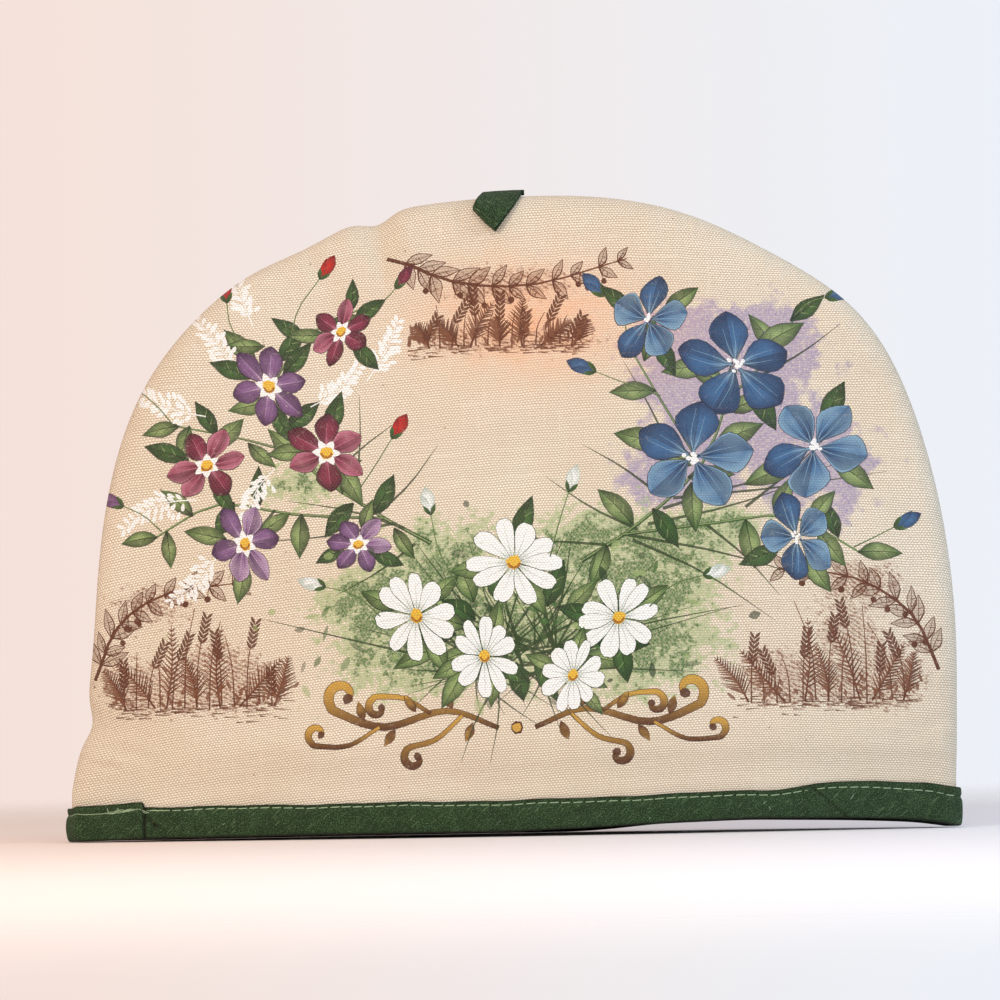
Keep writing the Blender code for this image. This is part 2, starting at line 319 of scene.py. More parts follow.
def canvas_points(reach, angle, side):
    x, z = flat_point(reach, angle)
    return settled(x, side * canvas_depth(reach, angle, side), PANEL_FOOT + z)


def lining_points(reach, angle, side):
    x, z = flat_point(reach, angle)
    return settled(x, side * lining_depth(reach), PANEL_FOOT + z)


def canvas_normals(reach, angle, side):
    """The way out of the outer face, from a step round the dome and a step towards its middle."""
    step = 2e-4
    here = canvas_points(reach, angle, side)
    inner = canvas_points(reach - step * np.maximum(reach, 0.01), angle, side)
    low = np.maximum(angle - step, 0)
    high = np.minimum(angle + step, math.pi)
    round_dome = canvas_points(reach, high, side) - canvas_points(reach, low, side)
    out = np.cross(round_dome, inner - here) * -side
    length = np.linalg.norm(out, axis=1, keepdims=True)
    plain = np.array((0.0, side, 0.0))
    return np.where(length > 1e-12, out / np.maximum(length, 1e-12), plain)


def rolled_extra():
    """Inset from the seam, and how much longer the rolled canvas is from there to the full padding."""
    inset = np.linspace(PADDING_ROLL, 0, 400)
    inward = 1 - inset / PADDING_ROLL
    depth = PADDING * np.sqrt(np.maximum(0, 1 - inward * inward))
    length = running_length(np.hypot(np.diff(inset), np.diff(depth)))
    return inset[::-1], (length - (PADDING_ROLL - inset))[::-1]


def cloth_places(x, z):
    """Where flat points lie on the cloth itself, which is longer than flat where it rolls over.

    Its level threads rise to the right on the left side and run level on the right.
    """
    reach, angle = dome_place(x, z)
    ray_x, ray_z = dome_ray(angle)
    length = np.hypot(ray_x, ray_z)
    extra = np.interp((1 - reach) * length, *rolled_extra())
    tilt = THREAD_TILT * x - THREAD_BOW * x * x
    return x + extra * ray_x / length, z + extra * ray_z / length - tilt


# --- Pieces ---


def new_piece(name, points, faces, materials):
    mesh = bpy.data.meshes.new(name)
    mesh.from_pydata((np.asarray(points) * MM).tolist(), [], faces)
    for material in materials:
        mesh.materials.append(material)
    mesh.shade_smooth()
    piece = bpy.data.objects.new(name, mesh)
    bpy.context.scene.collection.objects.link(piece)
    return piece


def store(mesh, name, kind, values, domain="POINT"):
    field = {"FLOAT": "value", "FLOAT_VECTOR": "vector", "FLOAT_COLOR": "color"}[kind]
    data = mesh.attributes.new(name, kind, domain).data
    data.foreach_set(field, np.asarray(values, np.float32).ravel())


def store_cloth(mesh, places):
    """Keeps each point's place on the cloth, in millimetres."""
    store(mesh, "cloth", "FLOAT_VECTOR", np.column_stack((places, np.zeros(len(places)))))


class Shell:
    """Points and faces of one mesh, put together from grids and strips."""

    def __init__(self):
        self.points = []
        self.places = []
        self.faces = []

    def add(self, points, places):
        start = len(self.points)
        self.points.extend(np.asarray(points).tolist())
        self.places.extend(np.asarray(places).tolist())
        return list(range(start, len(self.points)))

    def strip(self, first, second, closed=False):
        if closed:
            first, second = first + first[:1], second + second[:1]
        for a, b, c, d in zip(first, first[1:], second[1:], second):
            self.faces.append((a, b, c, d))

    def piece(self, name, materials):
        piece = new_piece(name, self.points, self.faces, materials)
        store_cloth(piece.data, self.places)
        return piece


# --- The print ---


def srgb(red, green, blue):
    """Linear colour of an 8-bit display colour."""
    share = np.array((red, green, blue)) / 255
    return np.where(share <= 0.04045, share / 12.92, ((share + 0.055) / 1.055) ** 2.4)


BLUE = srgb(56, 104, 148)
BLUE_DARK = srgb(24, 50, 84)
BLUE_INK = srgb(14, 30, 54)
BLUE_PALE = srgb(140, 176, 196)
MAUVE = srgb(138, 98, 146)
MAUVE_DARK = srgb(66, 34, 74)
MAUVE_PALE = srgb(200, 172, 196)
MAROON = srgb(138, 44, 74)
MAROON_DARK = srgb(64, 16, 36)
ROSE = srgb(204, 130, 150)
RED = srgb(200, 32, 32)
RED_DARK = srgb(122, 18, 22)
LEAF = srgb(66, 104, 50)
LEAF_DARK = srgb(30, 58, 32)
LEAF_PALE = srgb(156, 176, 112)
LEAF_INK = srgb(22, 34, 22)
GRASS = srgb(42, 62, 32)
WHITE = srgb(252, 251, 247)
WHITE_SHADE = srgb(184, 196, 184)
YELLOW = srgb(236, 186, 60)
OCHRE = srgb(170, 108, 30)
SEPIA = srgb(120, 70, 46)
SEPIA_DARK = srgb(92, 44, 26)
GOLD = srgb(210, 162, 66)
BROWN = srgb(84, 42, 22)

PETAL_STEPS = (0.0, 0.07, 0.18, 0.32, 0.48, 0.64, 0.78, 0.89, 0.965, 1.0)
SMALL_PETAL_STEPS = (0.0, 0.25, 0.55, 0.82, 1.0)


def heading(turn):
    return np.array((math.cos(turn), math.sin(turn)))


def leftwards(direction):
    return np.array((-direction[1], direction[0]))


def turn_of(direction):
    return math.atan2(direction[1], direction[0])


def bent_axis(start, turn, length, bend):
    """Gives what finds a point a share of the way along a curved middle line, or beside it."""
    direction = heading(turn)
    side = leftwards(direction)
    return lambda t, off=0.0: start + direction * length * t + side * (bend * length * t * t + off)


def sides_of(line):
    """Unit steps to the left of a line, at each of its points."""
    along = unit(np.gradient(line, axis=0))
    return np.column_stack((-along[:, 1], along[:, 0]))


class Print:
    """Painted shapes in flat places, in order: a later one lies on top."""

    def __init__(self, seed):
        self.chance = random.Random(seed)
        self.outlines = []
        self.paints = []

    def lay(self, outline, colours, cover=1.0, along=None, width=None, edge=None, squash=None):
        """colours run from the start of along to its end, and edge is mixed in towards the rim."""
        self.outlines.append(np.asarray(outline))
        paint = {"colours": colours, "cover": cover, "along": along, "width": width}
        self.paints.append({**paint, "edge": edge, "squash": squash})

    def between(self, low, high):
        return self.chance.uniform(low, high)

    def keep_only(self, numbers):
        self.outlines = [self.outlines[number] for number in numbers]
        self.paints = [self.paints[number] for number in numbers]

    def stroke(self, points, start_width, end_width, colours, cover=1.0, squash=None):
        """A tapering brush line along a curve through the given points."""
        points = smooth_line(np.asarray(points, float), 1 if len(points) < 3 else 5 if len(points) < 4 else 9)
        if squash is not None:
            points = squash_points(points, squash)
        half = np.linspace(start_width / 2, max(end_width / 2, 0.07), len(points))[:, None]
        outline = np.concatenate((points + sides_of(points) * half, (points - sides_of(points) * half)[::-1]))
        self.lay(outline, colours, cover, along=(points[0], points[-1]))

    def dot(self, centre, radius, colour, cover=1.0, squash=None):
        turns = np.arange(7) * 2 * math.pi / 7 + self.between(0, 1)
        wobble = np.array([self.between(0.85, 1.12) for _ in turns]) * radius
        outline = centre + np.column_stack((np.cos(turns) * wobble, np.sin(turns) * wobble))
        if squash is not None:
            outline = squash_points(outline, squash)
        self.lay(outline, (colour,), cover)

    def petal(
        self, start, turn, length, width, colours, form=(1.5, 0.7), cover=1.0, edge=None, rim=None,
        veins=(), shade=None, notch=0.0, bend=0.0, squash=None,
    ):
        """A petal or leaf from start, over its rim line, with a shaded half and veins on it.

        form is how far out it is widest and how pointed it is.
        """
        widest, blunt = form
        direction = heading(turn)
        side = leftwards(direction)
        steps = np.array(PETAL_STEPS if length > 6 else SMALL_PETAL_STEPS)
        phase = self.between(0, 6)

        def half_width(t):
            bulge = np.sin(math.pi * np.clip(t, 0, 1) ** widest) ** blunt
            return width / 2 * np.maximum(bulge, 0.1 * (1 - t)) * (1 + 0.06 * np.sin(8 * t + phase))

        def place(t, off):
            reach = t - notch * bell(off, 0.17 * width) * smooth_step(0.8, 1, t)
            spot = start + np.outer(reach * length, direction) + np.outer(off + bend * length * t * t, side)
            return spot if squash is None else squash_points(spot, squash)

        half = half_width(steps)
        left = place(steps, half)
        right = place(steps, -half * (1 + 0.08 * math.sin(phase)))
        outline = np.concatenate((left, right[-2::-1]))
        if half[0] < 0.05:
            outline = outline[:-1]
        if rim is not None:
            drift = (self.between(-0.1, 0.1), self.between(-0.16, 0.02))
            self.lay(outline + unit(outline - outline.mean(axis=0)) * 0.28 + drift, (rim,), 0.9)
        reach = (np.asarray(start), np.asarray(start) + direction * length)
        self.lay(outline, colours, cover, reach, (width, widest, blunt, bend), edge, squash)
        if shade is not None:
            way = self.chance.choice((-1, 1))
            middle = place(steps[::-1], np.zeros_like(steps))[1:]
            half_outline = np.concatenate((place(steps, way * half * 0.93), middle))
            self.lay(half_outline, (shade,), self.between(0.25, 0.5))
        for number, vein in enumerate(veins):
            off = (number - (len(veins) - 1) / 2) / len(veins)
            end = self.between(0.62, 0.92) - 0.25 * abs(off)
            marks = np.array((0.06, 0.35 * end + 0.05, end))
            self.stroke(place(marks, off * 1.5 * half_width(marks)), 0.5, 0.14, (vein,), 0.6)

    def leaf(self, start, turn, length, width, squash=None):
        """A two-toned leaf with a midrib and side veins."""
        bend = self.between(-0.16, 0.16)
        kind = self.chance.random()
        if kind < 0.4:
            colours = (LEAF, LEAF_PALE, LEAF)
        else:
            colours = (LEAF_DARK, LEAF, LEAF_DARK) if kind < 0.75 else (LEAF_DARK, LEAF_PALE, LEAF)
        self.petal(
            start, turn, length, width, colours, (0.85, 1.05), edge=LEAF_DARK, rim=LEAF_INK, shade=LEAF_INK,
            bend=bend, squash=squash,
        )
        rib = bent_axis(start, turn, length, bend)
        self.stroke([rib(0), rib(0.5), rib(0.93)], 0.55, 0.14, (LEAF_INK,), 0.85, squash)
        for t in (0.3, 0.55):
            spread = 0.34 * width * math.sin(math.pi * t**0.85)
            for way, colour in ((-1, LEAF_PALE), (1, LEAF_INK)):
                self.stroke([rib(t), rib(t + 0.13, way * spread)], 0.36, 0.12, (colour,), 0.6, squash)

    def stem(self, points, width=0.8):
        self.stroke(points, width, width * 0.6, (LEAF_DARK, LEAF), 0.95)
        self.stroke(np.asarray(points) + (-0.12, 0.14), width * 0.35, width * 0.2, (LEAF_PALE,), 0.7)

    def blade(self, start, turn, length, bend, width):
        """A blade of grass that curves to one side."""
        direction = heading(turn)
        side = leftwards(direction)
        middle = start + direction * length * 0.5 + side * bend * length * 0.3
        end = start + direction * length + side * bend * length
        self.stroke([start, middle, end], width, 0.12, (GRASS,), 0.9)


def smooth_line(points, count):
    """A smooth curve through the points (Catmull-Rom), as count + 1 points."""
    padded = np.concatenate((2 * points[:1] - points[1:2], points, 2 * points[-1:] - points[-2:-1]))
    shares = np.linspace(0, len(points) - 1, count + 1)
    spans = np.minimum(shares.astype(int), len(points) - 2)
    t = (shares - spans)[:, None]
    a, b, c, d = (padded[spans + offset] for offset in range(4))
    return 0.5 * (2 * b + (c - a) * t + (2 * a - 5 * b + 4 * c - d) * t**2 + (3 * b - a - 3 * c + d) * t**3)


def squash_points(points, squash, back=False):
    """Foreshortens points about a centre along a direction, or undoes it."""
    centre, turn, factor = squash
    if back:
        factor = 1 / factor
    direction = heading(turn)
    along = (points - centre) @ direction
    return points + np.outer(along * (factor - 1), direction)


def paint_colour(paint, points):
    """Linear colour of a painted shape at flat points."""
    if paint["squash"] is not None:
        points = squash_points(points, paint["squash"], back=True)
    table = np.array(paint["colours"])
    if paint["along"] is None:
        return np.tile(table[0], (len(points), 1))
    start, end = paint["along"]
    length = max(float(np.hypot(*(end - start))), 1e-6)
    direction = (end - start) / length
    away = points - start
    t = np.clip(away @ direction / length, 0, 1)
    marks = np.linspace(0, 1, len(table))
    found = np.column_stack([np.interp(t, marks, table[:, band]) for band in range(3)])
    if paint["edge"] is not None:
        width, widest, blunt, bend = paint["width"]
        bulge = np.maximum(np.sin(math.pi * t**widest), 0) ** blunt
        off = np.abs(away @ leftwards(direction) - bend * length * t * t)
        rim = np.clip(off / np.maximum(width / 2 * bulge, 0.3), 0, 1) ** 3
        found = found + (paint["edge"] - found) * (0.75 * rim)[:, None]
    return found


# Of each kind of flower: how many petals, their length and width as shares of its reach, form,
# notch, the colours of a petal (body, dark, pale, rim) and of the veins on it.
BLUE_KIND = (5, 0.98, 0.74, (1.45, 0.8), 0.0, (BLUE, BLUE_DARK, BLUE_PALE, BLUE_INK),
             (BLUE_INK, BLUE_PALE, BLUE_INK, BLUE_PALE, BLUE_INK))
MAUVE_KIND = (6, 0.92, 0.54, (1.35, 0.78), 0.0, (MAUVE, MAUVE_DARK, MAUVE_PALE, MAUVE_DARK * 0.5),
              (MAUVE_DARK, MAUVE_PALE, MAUVE_DARK))
MAROON_KIND = (6, 0.92, 0.54, (1.35, 0.78), 0.0, (MAROON, MAROON_DARK, ROSE, MAROON_DARK * 0.5),
               (MAROON_DARK, ROSE, MAROON_DARK))
WHITE_KIND = (10, 0.96, 0.4, (1.75, 0.55), 0.05, (WHITE, WHITE_SHADE, WHITE, LEAF_DARK),
              (WHITE_SHADE * 0.8,))


def bloom(art, kind, centre, size, turn, lean):
    """A flower, every other petal first. lean is the way it is foreshortened and by how much."""
    count, length, width, form, notch, (body, dark, pale, rim), veins = kind
    centre = np.array(centre, float)
    squash = (centre, *lean)
    for number in range(3):
        angle = turn + 0.6 + 2.1 * number + art.between(-0.4, 0.4)
        long = size * art.between(0.85, 1.05)
        art.leaf(centre + heading(angle) * size * 0.45, angle, long, long * 0.42)
    for number in (*range(0, count, 2), *range(1, count, 2)):
        angle = turn + number * 2 * math.pi / count + art.between(-0.09, 0.09)
        light = art.chance.random() > 0.5
        if kind is WHITE_KIND:
            colours, edge, shade = (dark, body, body, body), body, None
        else:
            colours = (pale, body, body, dark) if light else (dark, body, pale * 0.5 + body * 0.5, body)
            edge, shade = (dark if light else pale), rim
        art.petal(
            centre + heading(angle) * size * 0.08, angle, size * length * art.between(0.93, 1.06),
            size * width * art.between(0.92, 1.08), colours, form, edge=edge, rim=rim, veins=veins,
            shade=shade, notch=notch, bend=art.between(-0.1, 0.1), squash=squash,
        )
    if kind is BLUE_KIND:
        for number in range(8):
            spot = centre + heading(art.between(0, 6.28)) * size * art.between(0.02, 0.17)
            art.dot(spot, size * art.between(0.035, 0.055), WHITE, squash=squash)
        return
    if kind is not WHITE_KIND:
        for number in range(6):
            angle = turn + (number + 0.5) * math.pi / 3
            art.petal(centre, angle, size * 0.34, size * 0.2, (WHITE,), (1, 0.9), squash=squash)
    art.dot(centre, size * 0.17, YELLOW, squash=squash)
    for number in range(7):
        spot = centre + heading(3.5 + number * 0.42) * size * 0.12
        art.dot(spot, size * 0.035, OCHRE, squash=squash)


def bud(art, start, end, size, colour, dark):
    """A closed bud on a stem, held by two small sepals."""
    start, end = np.asarray(start, float), np.asarray(end, float)
    middle = (start + end) / 2 + leftwards(end - start) * art.between(-0.15, 0.15)
    art.stem([start, middle, end], 0.6)
    turn = turn_of(end - middle)
    art.petal(end, turn, size, size * 0.5, (dark, colour, colour, dark), (1, 0.9), edge=dark, rim=dark)
    art.petal(end, turn + 0.28, size * 0.8, size * 0.26, (colour, colour, dark), (1, 1), edge=dark)
    for way in (-0.55, 0.5):
        foot = end - heading(turn) * size * 0.12
        art.petal(foot, turn + way, size * 0.5, size * 0.18, (LEAF_DARK, LEAF), (0.9, 1))


def white_spray(art, start, turn, length):
    """A sprig of plump white florets to both sides of a thin stalk."""
    start = np.array(start, float)
    tip = start + heading(turn) * length
    bow = leftwards(heading(turn)) * length * art.between(-0.12, 0.12)
    line = smooth_line(np.array((start, (start + tip) / 2 + bow, tip)), 12)
    art.stroke(line[::4], 0.5, 0.2, (WHITE,), 0.95)
    for number in range(2, 13):
        for way in (-1, 1):
            reach = length * (0.27 - 0.016 * number) * art.between(0.7, 1.1)
            for grain in range(2 if number < 9 else 1):
                spread = turn + way * art.between(0.55, 1.15)
                foot = line[number] + heading(spread) * reach * (0.12 + 0.5 * grain)
                art.petal(foot, spread, 3.3, 1.6, (WHITE,), (1.2, 0.7), 0.96)


def sepia_leaf(art, start, turn, length, width):
    """A drawn leaf: a pale tint, a firm outline and hatching along its shaded half."""
    bend = art.between(-0.2, 0.2)
    place = bent_axis(start, turn, length, bend)
    art.petal(start, turn, length, width, (SEPIA,), (0.85, 1), 0.35, bend=bend)
    for way, wide in ((-1, 0.75), (1, 0.45)):
        line = [place(t, way * width / 2 * math.sin(math.pi * t**0.85)) for t in (0, 0.45, 1.0)]
        art.stroke(line, wide, 0.26, (SEPIA_DARK,))
    art.stroke([place(0), place(0.92)], 0.45, 0.16, (SEPIA_DARK,), 0.9)
    for t in (0.25, 0.5):
        off = -width / 2 * math.sin(math.pi * t**0.85)
        art.stroke([place(t), place(t + 0.08, off * 0.92)], 0.45, 0.2, (SEPIA_DARK,), 0.85)


def sepia_bough(art, points, leaf_length, pairs, berries):
    """A drawn bough with leaves to both sides and drooping berries."""
    line = smooth_line(np.asarray(points, float), 30)
    art.stroke(points, 1.5, 0.5, (SEPIA_DARK, SEPIA))
    for number in range(pairs):
        share = 0.1 + 0.88 * number / (pairs - 1)
        at = min(29, int(share * 30))
        turn = turn_of(line[at + 1] - line[at])
        size = leaf_length * (1.05 - 0.4 * share) * art.between(0.8, 1.15)
        for way in (-1, 1):
            spread = turn + way * art.between(0.55, 1.05)
            sepia_leaf(art, line[at], spread, size, size * art.between(0.36, 0.48))
    for number in range(berries):
        at = art.chance.randrange(6, 28)
        hang = line[at] + (art.between(-3, 3), -art.between(4, 8))
        art.stroke([line[at], hang], 0.4, 0.3, (SEPIA_DARK,), 0.9)
        art.dot(hang, 1.3, SEPIA_DARK)


def sepia_fern(art, foot, turn, length, bend, leaflet):
    """A drawn fern frond, its leaflets shorter towards the tip."""
    place = bent_axis(foot, turn, length, bend)
    art.stroke([place(0), place(0.5), place(1)], 0.8, 0.25, (SEPIA_DARK, SEPIA))
    for number in range(14):
        t = 0.18 + 0.8 * number / 14
        lean = turn + math.atan(2 * bend * t)
        reach = leaflet * (1.1 - t) * (0.55 + 0.9 * min(1.0, 3 * t))
        for way, colour in ((-1, SEPIA_DARK), (1, SEPIA)):
            tip = place(t) + heading(lean + way * art.between(0.75, 0.95)) * reach
            art.stroke([place(t), tip], 0.85, 0.2, (colour,), 0.95)


def sepia_meadow(art, left, right, ground, tall, way):
    """Drawn ferns, grasses and seed heads over a hatched ground."""
    wide = right - left
    for _ in range(int(wide * 1.2)):
        x, z = art.between(left, right - 4), ground + art.chance.gauss(-0.5, 1.9)
        line = [(x, z), (x + art.between(2, 6.5), z + art.between(-0.4, 0.4))]
        art.stroke(line, art.between(0.45, 0.8), 0.2, (SEPIA_DARK, SEPIA), art.between(0.7, 0.95))
    for share, turn, reach in (
        (0.28, 2.1, 0.72), (0.34, 1.35, 0.95), (0.62, 1.8, 0.9), (0.72, 0.85, 0.75), (0.5, 1.6, 0.6),
        (0.12, 1.9, 0.55), (0.9, 1.2, 0.6),
    ):
        foot = np.array((left + wide * share, ground))
        if way < 0:
            foot[0], turn = left + right - foot[0], math.pi - turn
        sepia_fern(art, foot, turn, tall * reach, art.between(-0.3, 0.3), 6.6)
    for number in range(13):
        share = (number + 0.5) / 13
        foot = np.array((left + wide * (0.08 + 0.84 * share), ground + art.between(-1, 1)))
        reach = tall * art.between(0.5, 1.0) * (0.7 + 0.5 * math.sin(math.pi * share))
        bend = art.between(-0.25, 0.25) + 0.12 * way
        end = foot + np.array((bend * reach, reach))
        middle = foot + np.array((bend * reach * 0.2, reach * 0.55))
        art.stroke([foot, middle, end], 0.65, 0.3, (SEPIA_DARK, SEPIA), 0.95)
        turn = math.atan2(reach * 0.5, bend * reach * 0.9)
        for grain in range(0 if number % 2 else 6):
            at = end - heading(turn) * grain * 1.9
            for off in (-0.62, 0.62):
                art.petal(at, turn + off, 3.6, 1.15, (SEPIA_DARK,), (0.9, 0.8), 0.95)
    for _ in range(32):
        at = (art.between(left, right), ground + abs(art.chance.gauss(0, 4.0)))
        art.petal(at, art.between(0.6, 2.5), art.between(2.5, 5), 1.4, (SEPIA,), (0.8, 0.7), 0.85)


def tendril(art, points, coil, width):
    """A curling line that ends in a coil, gold above and brown below."""
    line = [np.asarray(point, float) for point in points]
    end = line[-1]
    turn = turn_of(end - line[-2])
    way = 1 if coil > 0 else -1
    centre = end + leftwards(heading(turn)) * coil
    for step in range(1, 9):
        angle = turn - way * math.pi / 2 + way * step * 0.62
        line.append(centre + heading(angle) * abs(coil) * (1 - 0.088 * step))
    smooth = smooth_line(np.array(line), 5 * (len(line) - 1))
    side = sides_of(smooth)
    share = np.linspace(0, 1, len(smooth))
    half = (width * (0.35 + 0.65 * np.sin(math.pi * np.clip(share * 0.9 + 0.05, 0, 1)) ** 1.2) / 2)[:, None]
    fade = np.array(((0.0, smooth[:, 1].max()), (0.0, smooth[:, 1].min() - 0.01)))
    for swell, colours in ((0.25, (BROWN, BROWN * 0.5)), (0.0, (GOLD, BROWN))):
        for first in range(0, len(smooth) - 1, 5):
            piece = slice(first, min(first + 6, len(smooth)))
            left = (smooth + side * (half + swell))[piece]
            right = (smooth - side * (half + swell))[piece]
            art.lay(np.concatenate((left, right[::-1])), colours, 0.97, along=fade)
    art.dot(smooth[-1], width * 0.62, BROWN, 0.95)


def left_limb(art):
    """Mauve and maroon flowers with red buds and white sprays."""
    art.stem([(-30, 112), (-54, 126), (-82, 148), (-98, 186)], 1.6)
    art.stem([(-48, 122), (-82, 124), (-112, 128), (-136, 116)], 1.3)
    art.stem([(-82, 148), (-104, 154), (-128, 158)], 1.1)
    art.stem([(-92, 172), (-78, 194), (-58, 204)], 1.1)
    for x, z, turn, length, bend in (
        (-40, 118, 2.7, 46, 0.2), (-44, 120, 3.4, 58, -0.15), (-60, 130, 1.3, 40, 0.2),
        (-36, 112, 3.9, 36, -0.2), (-50, 124, 0.6, 34, 0.25), (-90, 126, 3.9, 32, 0.2),
        (-84, 150, 1.9, 44, -0.1), (-70, 136, 0.9, 38, -0.2),
    ):
        art.blade((x, z), turn, length, bend, 1.2)
    for x, z, turn, length, width in (
        (-52, 124, 0.95, 17, 7), (-60, 128, 3.9, 17, 7), (-72, 138, 0.3, 17, 7), (-80, 146, 2.5, 17, 7),
        (-86, 158, 0.5, 17, 7), (-92, 168, 3.3, 16, 7), (-97, 184, 2.4, 17, 7), (-88, 184, 1.0, 16, 6.5),
        (-80, 124, 4.6, 17, 7), (-96, 128, 1.7, 15, 6), (-106, 129, 4.2, 16, 6.5), (-122, 124, 2.3, 15, 6),
        (-132, 118, 4.8, 14, 5.5), (-136, 116, 3.2, 14, 5.5), (-78, 194, 2.7, 15, 6),
        (-68, 200, 0.1, 14, 5.5), (-112, 155, 2.1, 15, 6), (-122, 158, 4.3, 15, 6), (-100, 152, 5.4, 14, 5.5),
        (-64, 132, 1.9, 15, 6), (-44, 118, 5.2, 14, 5.5), (-126, 158, 3.3, 14, 5.5), (-60, 204, 1.4, 13, 5),
        (-94, 190, 3.2, 14, 5.5),
    ):
        art.leaf((x, z), turn, length, width)
    for x, z, turn, length in (
        (-116, 162, 2.8, 30), (-104, 178, 2.2, 28), (-120, 130, 3.5, 30), (-98, 198, 1.9, 24),
        (-112, 110, 3.9, 26), (-54, 176, 1.1, 26), (-76, 166, 0.7, 24), (-90, 142, 4.2, 24),
    ):
        white_spray(art, (x, z), turn, length)
    for start, end in (
        ((-84, 190), (-72, 219)), ((-128, 158), (-141, 171)), ((-99, 188), (-108, 208)),
        ((-60, 130), (-44, 154)),
    ):
        bud(art, start, end, 10, RED, RED_DARK)
    bud(art, (-134, 118), (-149, 128), 9.5, MAUVE, MAUVE_DARK)
    bud(art, (-58, 204), (-42, 214), 9.5, MAROON, MAROON_DARK)
    for kind, *where in (
        (MAUVE_KIND, (-92, 174), 17, 0.3, (0.6, 0.86)), (MAROON_KIND, (-116, 143), 16, 0.1, (2.2, 0.8)),
        (MAROON_KIND, (-70, 148), 17, 0.5, (1.0, 0.9)), (MAUVE_KIND, (-102, 113), 16, 0.2, (0.2, 0.84)),
        (MAROON_KIND, (-64, 196), 14.5, 0.4, (2.6, 0.78)), (MAUVE_KIND, (-58, 112), 13.5, 0.9, (1.8, 0.82)),
    ):
        bloom(art, kind, *where)


def right_limb(art):
    """Broad blue flowers with buds and long blades."""
    for x, z, turn, length, bend in (
        (70, 150, 0.9, 44, 0.12), (80, 160, 1.25, 40, -0.1), (54, 118, 0.12, 66, 0.14),
        (48, 112, 5.95, 62, -0.2), (92, 124, 0.6, 46, 0.1), (66, 140, 1.9, 46, 0.12),
        (100, 176, 0.4, 36, 0.16), (46, 114, 6.15, 78, -0.12), (60, 124, 0.35, 70, -0.12),
        (58, 130, 2.4, 34, 0.15), (76, 118, 5.7, 40, -0.2), (64, 128, 0.05, 84, 0.06),
        (50, 116, 2.8, 40, -0.2), (40, 110, 3.0, 46, 0.1),
    ):
        art.blade((x, z), turn, length, bend, 1.3)
    art.stem([(28, 104), (50, 118), (76, 142), (90, 178)], 1.6)
    art.stem([(44, 114), (80, 118), (110, 120), (136, 106)], 1.3)
    art.stem([(88, 168), (106, 186), (114, 200)], 1.1)
    art.stem([(72, 146), (58, 170), (48, 188)], 1.1)
    for x, z, turn, length, width in (
        (48, 118, 2.2, 19, 8), (56, 124, 5.4, 18, 7), (70, 136, 0.2, 18, 7), (74, 142, 2.9, 19, 8),
        (86, 162, 0.3, 18, 7), (86, 172, 2.6, 18, 7), (92, 119, 4.9, 19, 8), (104, 120, 1.3, 17, 7),
        (120, 115, 5.3, 18, 7), (136, 106, 0.1, 17, 7), (106, 186, 2.1, 18, 7), (112, 198, 0.6, 17, 7),
        (54, 182, 1.2, 18, 7), (58, 170, 3.1, 18, 7), (38, 110, 4.4, 17, 7), (128, 112, 1.9, 15, 6),
    ):
        art.leaf((x, z), turn, length, width)
    for start, end in (
        ((48, 188), (38, 208)), ((114, 200), (127, 207)), ((134, 108), (151, 116)), ((60, 168), (34, 178)),
    ):
        bud(art, start, end, 11, BLUE, BLUE_DARK)
    for where in (
        ((90, 180), 22, 0.4, (0.8, 0.88)), ((119, 147), 20.5, 0.9, (2.0, 0.84)),
        ((72, 144), 22.5, 0.1, (1.4, 0.92)),
        ((112, 112), 17, 0.6, (0.4, 0.8)), ((56, 198), 17, 0.2, (2.5, 0.76)),
    ):
        bloom(art, BLUE_KIND, *where)


def posy(art):
    """White flowers low in the middle, over long grasses and loose foliage."""
    for number in range(56):
        share = number / 55
        turn = 0.06 + 3.02 * share
        length = art.between(36, 84) * (1.15 - 0.6 * math.sin(math.pi * share))
        foot = (2 + art.between(-16, 16), 66 + art.between(-7, 7))
        art.blade(foot, turn, length, art.between(-0.3, 0.3), art.between(0.8, 1.6))
    for number in range(26):
        turn = math.pi + 0.05 + 3.0 * number / 25
        foot = (2 + art.between(-20, 20), 64 + art.between(-5, 5))
        art.blade(foot, turn, art.between(16, 36), art.between(-0.3, 0.3), art.between(0.7, 1.3))
    for number in range(112):
        spot = (art.chance.gauss(2, 36), art.chance.gauss(78, 17))
        length, width = art.between(2.5, 7.5), art.between(1.4, 3.6)
        colour = (LEAF, LEAF_PALE, LEAF_DARK)[number % 3]
        art.petal(spot, art.between(0, 6.28), length, width, (colour,), (0.9, 0.8), art.between(0.4, 0.85))
    for number in range(19):
        turn = 0.1 + 0.33 * number
        foot = (2, 76) + heading(turn) * (24, 11) * art.between(0.8, 1.4)
        art.leaf(foot, turn + art.between(-0.3, 0.3), art.between(15, 21), art.between(6, 8.5))
    for where in (
        ((-36, 84), 17, 0.2, (0.5, 0.88)), ((2, 104), 18, 0.6, (1.5, 0.92)), ((42, 82), 17, 0.1, (2.3, 0.86)),
        ((-10, 68), 15.5, 0.9, (0.2, 0.82)), ((24, 60), 14.5, 0.4, (2.8, 0.8)),
    ):
        bloom(art, WHITE_KIND, *where)
    for start, end in (
        ((-20, 96), (-30, 124)), ((16, 106), (24, 132)), ((54, 86), (76, 98)), ((-50, 84), (-72, 96)),
    ):
        bud(art, start, end, 10, WHITE, WHITE_SHADE)


